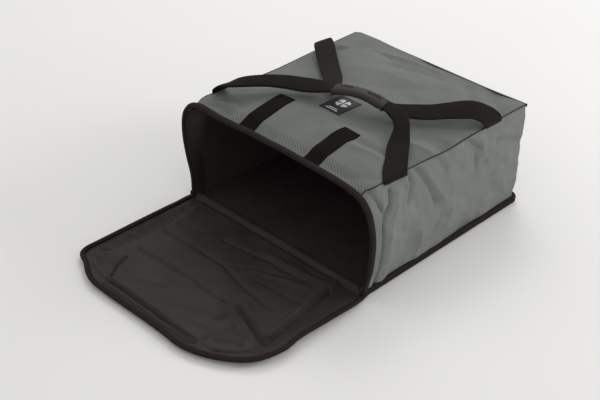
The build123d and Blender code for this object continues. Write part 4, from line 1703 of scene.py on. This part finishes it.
def make_floor():
    """A wide sheet of paper under the bag."""
    size = 8.0
    mesh = bpy.data.meshes.new("studio_floor")
    corners = [(-size, -size, 0), (size, -size, 0), (size, size, 0), (-size, size, 0)]
    mesh.from_pydata(corners, [], [[0, 1, 2, 3]])
    mesh.materials.append(M_FLOOR)
    floor = bpy.data.objects.new("studio_floor", mesh)
    bpy.context.scene.collection.objects.link(floor)


def area_light(name, place, target, size, power):
    """A rectangular light of (width, height) metres, turned to face the target."""
    data = bpy.data.lights.new(name, "AREA")
    data.shape = "RECTANGLE"
    data.size, data.size_y = size
    data.energy = power
    light = bpy.data.objects.new(name, data)
    light.location = place
    light.rotation_euler = (Vector(target) - Vector(place)).to_track_quat("-Z", "Y").to_euler()
    bpy.context.scene.collection.objects.link(light)


def make_lights():
    """Two soft lights behind the bag and an even white surround."""
    target = (0.0, -0.1, 0.08)
    area_light("key", (-1.35, 1.6, 2.3), target, (1.3, 1.1), 21.0)
    area_light("back", (1.5, 1.7, 1.1), target, (0.8, 0.7), 17.0)
    world = bpy.data.worlds.new("studio")
    world.use_nodes = True
    background = world.node_tree.nodes["Background"]
    background.inputs["Color"].default_value = (1.0, 1.0, 1.0, 1.0)
    background.inputs["Strength"].default_value = 0.67
    bpy.context.scene.world = world
    bpy.context.scene.view_settings.view_transform = "Standard"


def make_camera():
    """The viewing angle: from the front right, above."""
    data = bpy.data.cameras.new("camera")
    data.sensor_width = 36.0
    data.lens = 84.87
    data.clip_start = 0.05
    data.clip_end = 50.0
    camera = bpy.data.objects.new("camera", data)
    azimuth = math.radians(43.77)
    elevation = math.radians(32.94)
    roll = math.radians(1.66)
    turn = Matrix.Rotation(azimuth, 4, "Z") @ Matrix.Rotation(math.pi / 2 - elevation, 4, "X")
    turn = turn @ Matrix.Rotation(roll, 4, "Z")
    camera.matrix_world = Matrix.Translation((1.2354, -1.4147, 1.2126)) @ turn
    bpy.context.scene.collection.objects.link(camera)
    bpy.context.scene.camera = camera


# ---------------------------------------------------------------- the whole object

make_camera()
make_floor()
make_lights()

bag_stitches = Stitches()
flap_stitches = Stitches()
tip_stitches = Stitches()

make_side_band()
make_top_panel()
make_top_seam()
make_base_and_flap()
make_foam()
make_wall_lining()
make_top_lining()
make_opening_binding(bag_stitches)
make_base_binding(bag_stitches)
make_corner_tape_end()
make_flap_binding(flap_stitches, tip_stitches)
make_loop_strips(bag_stitches)
make_label(bag_stitches)
make_label_mark()
make_hook_tape(tip_stitches)
make_straps()
make_bar_tacks()
make_grip()

bag_stitches.build("bag_stitching", M_THREAD, "bag")
flap_stitches.build("flap_stitching", M_THREAD, "flap_front")
tip_stitches.build("tip_stitching", M_THREAD, "flap_tip")
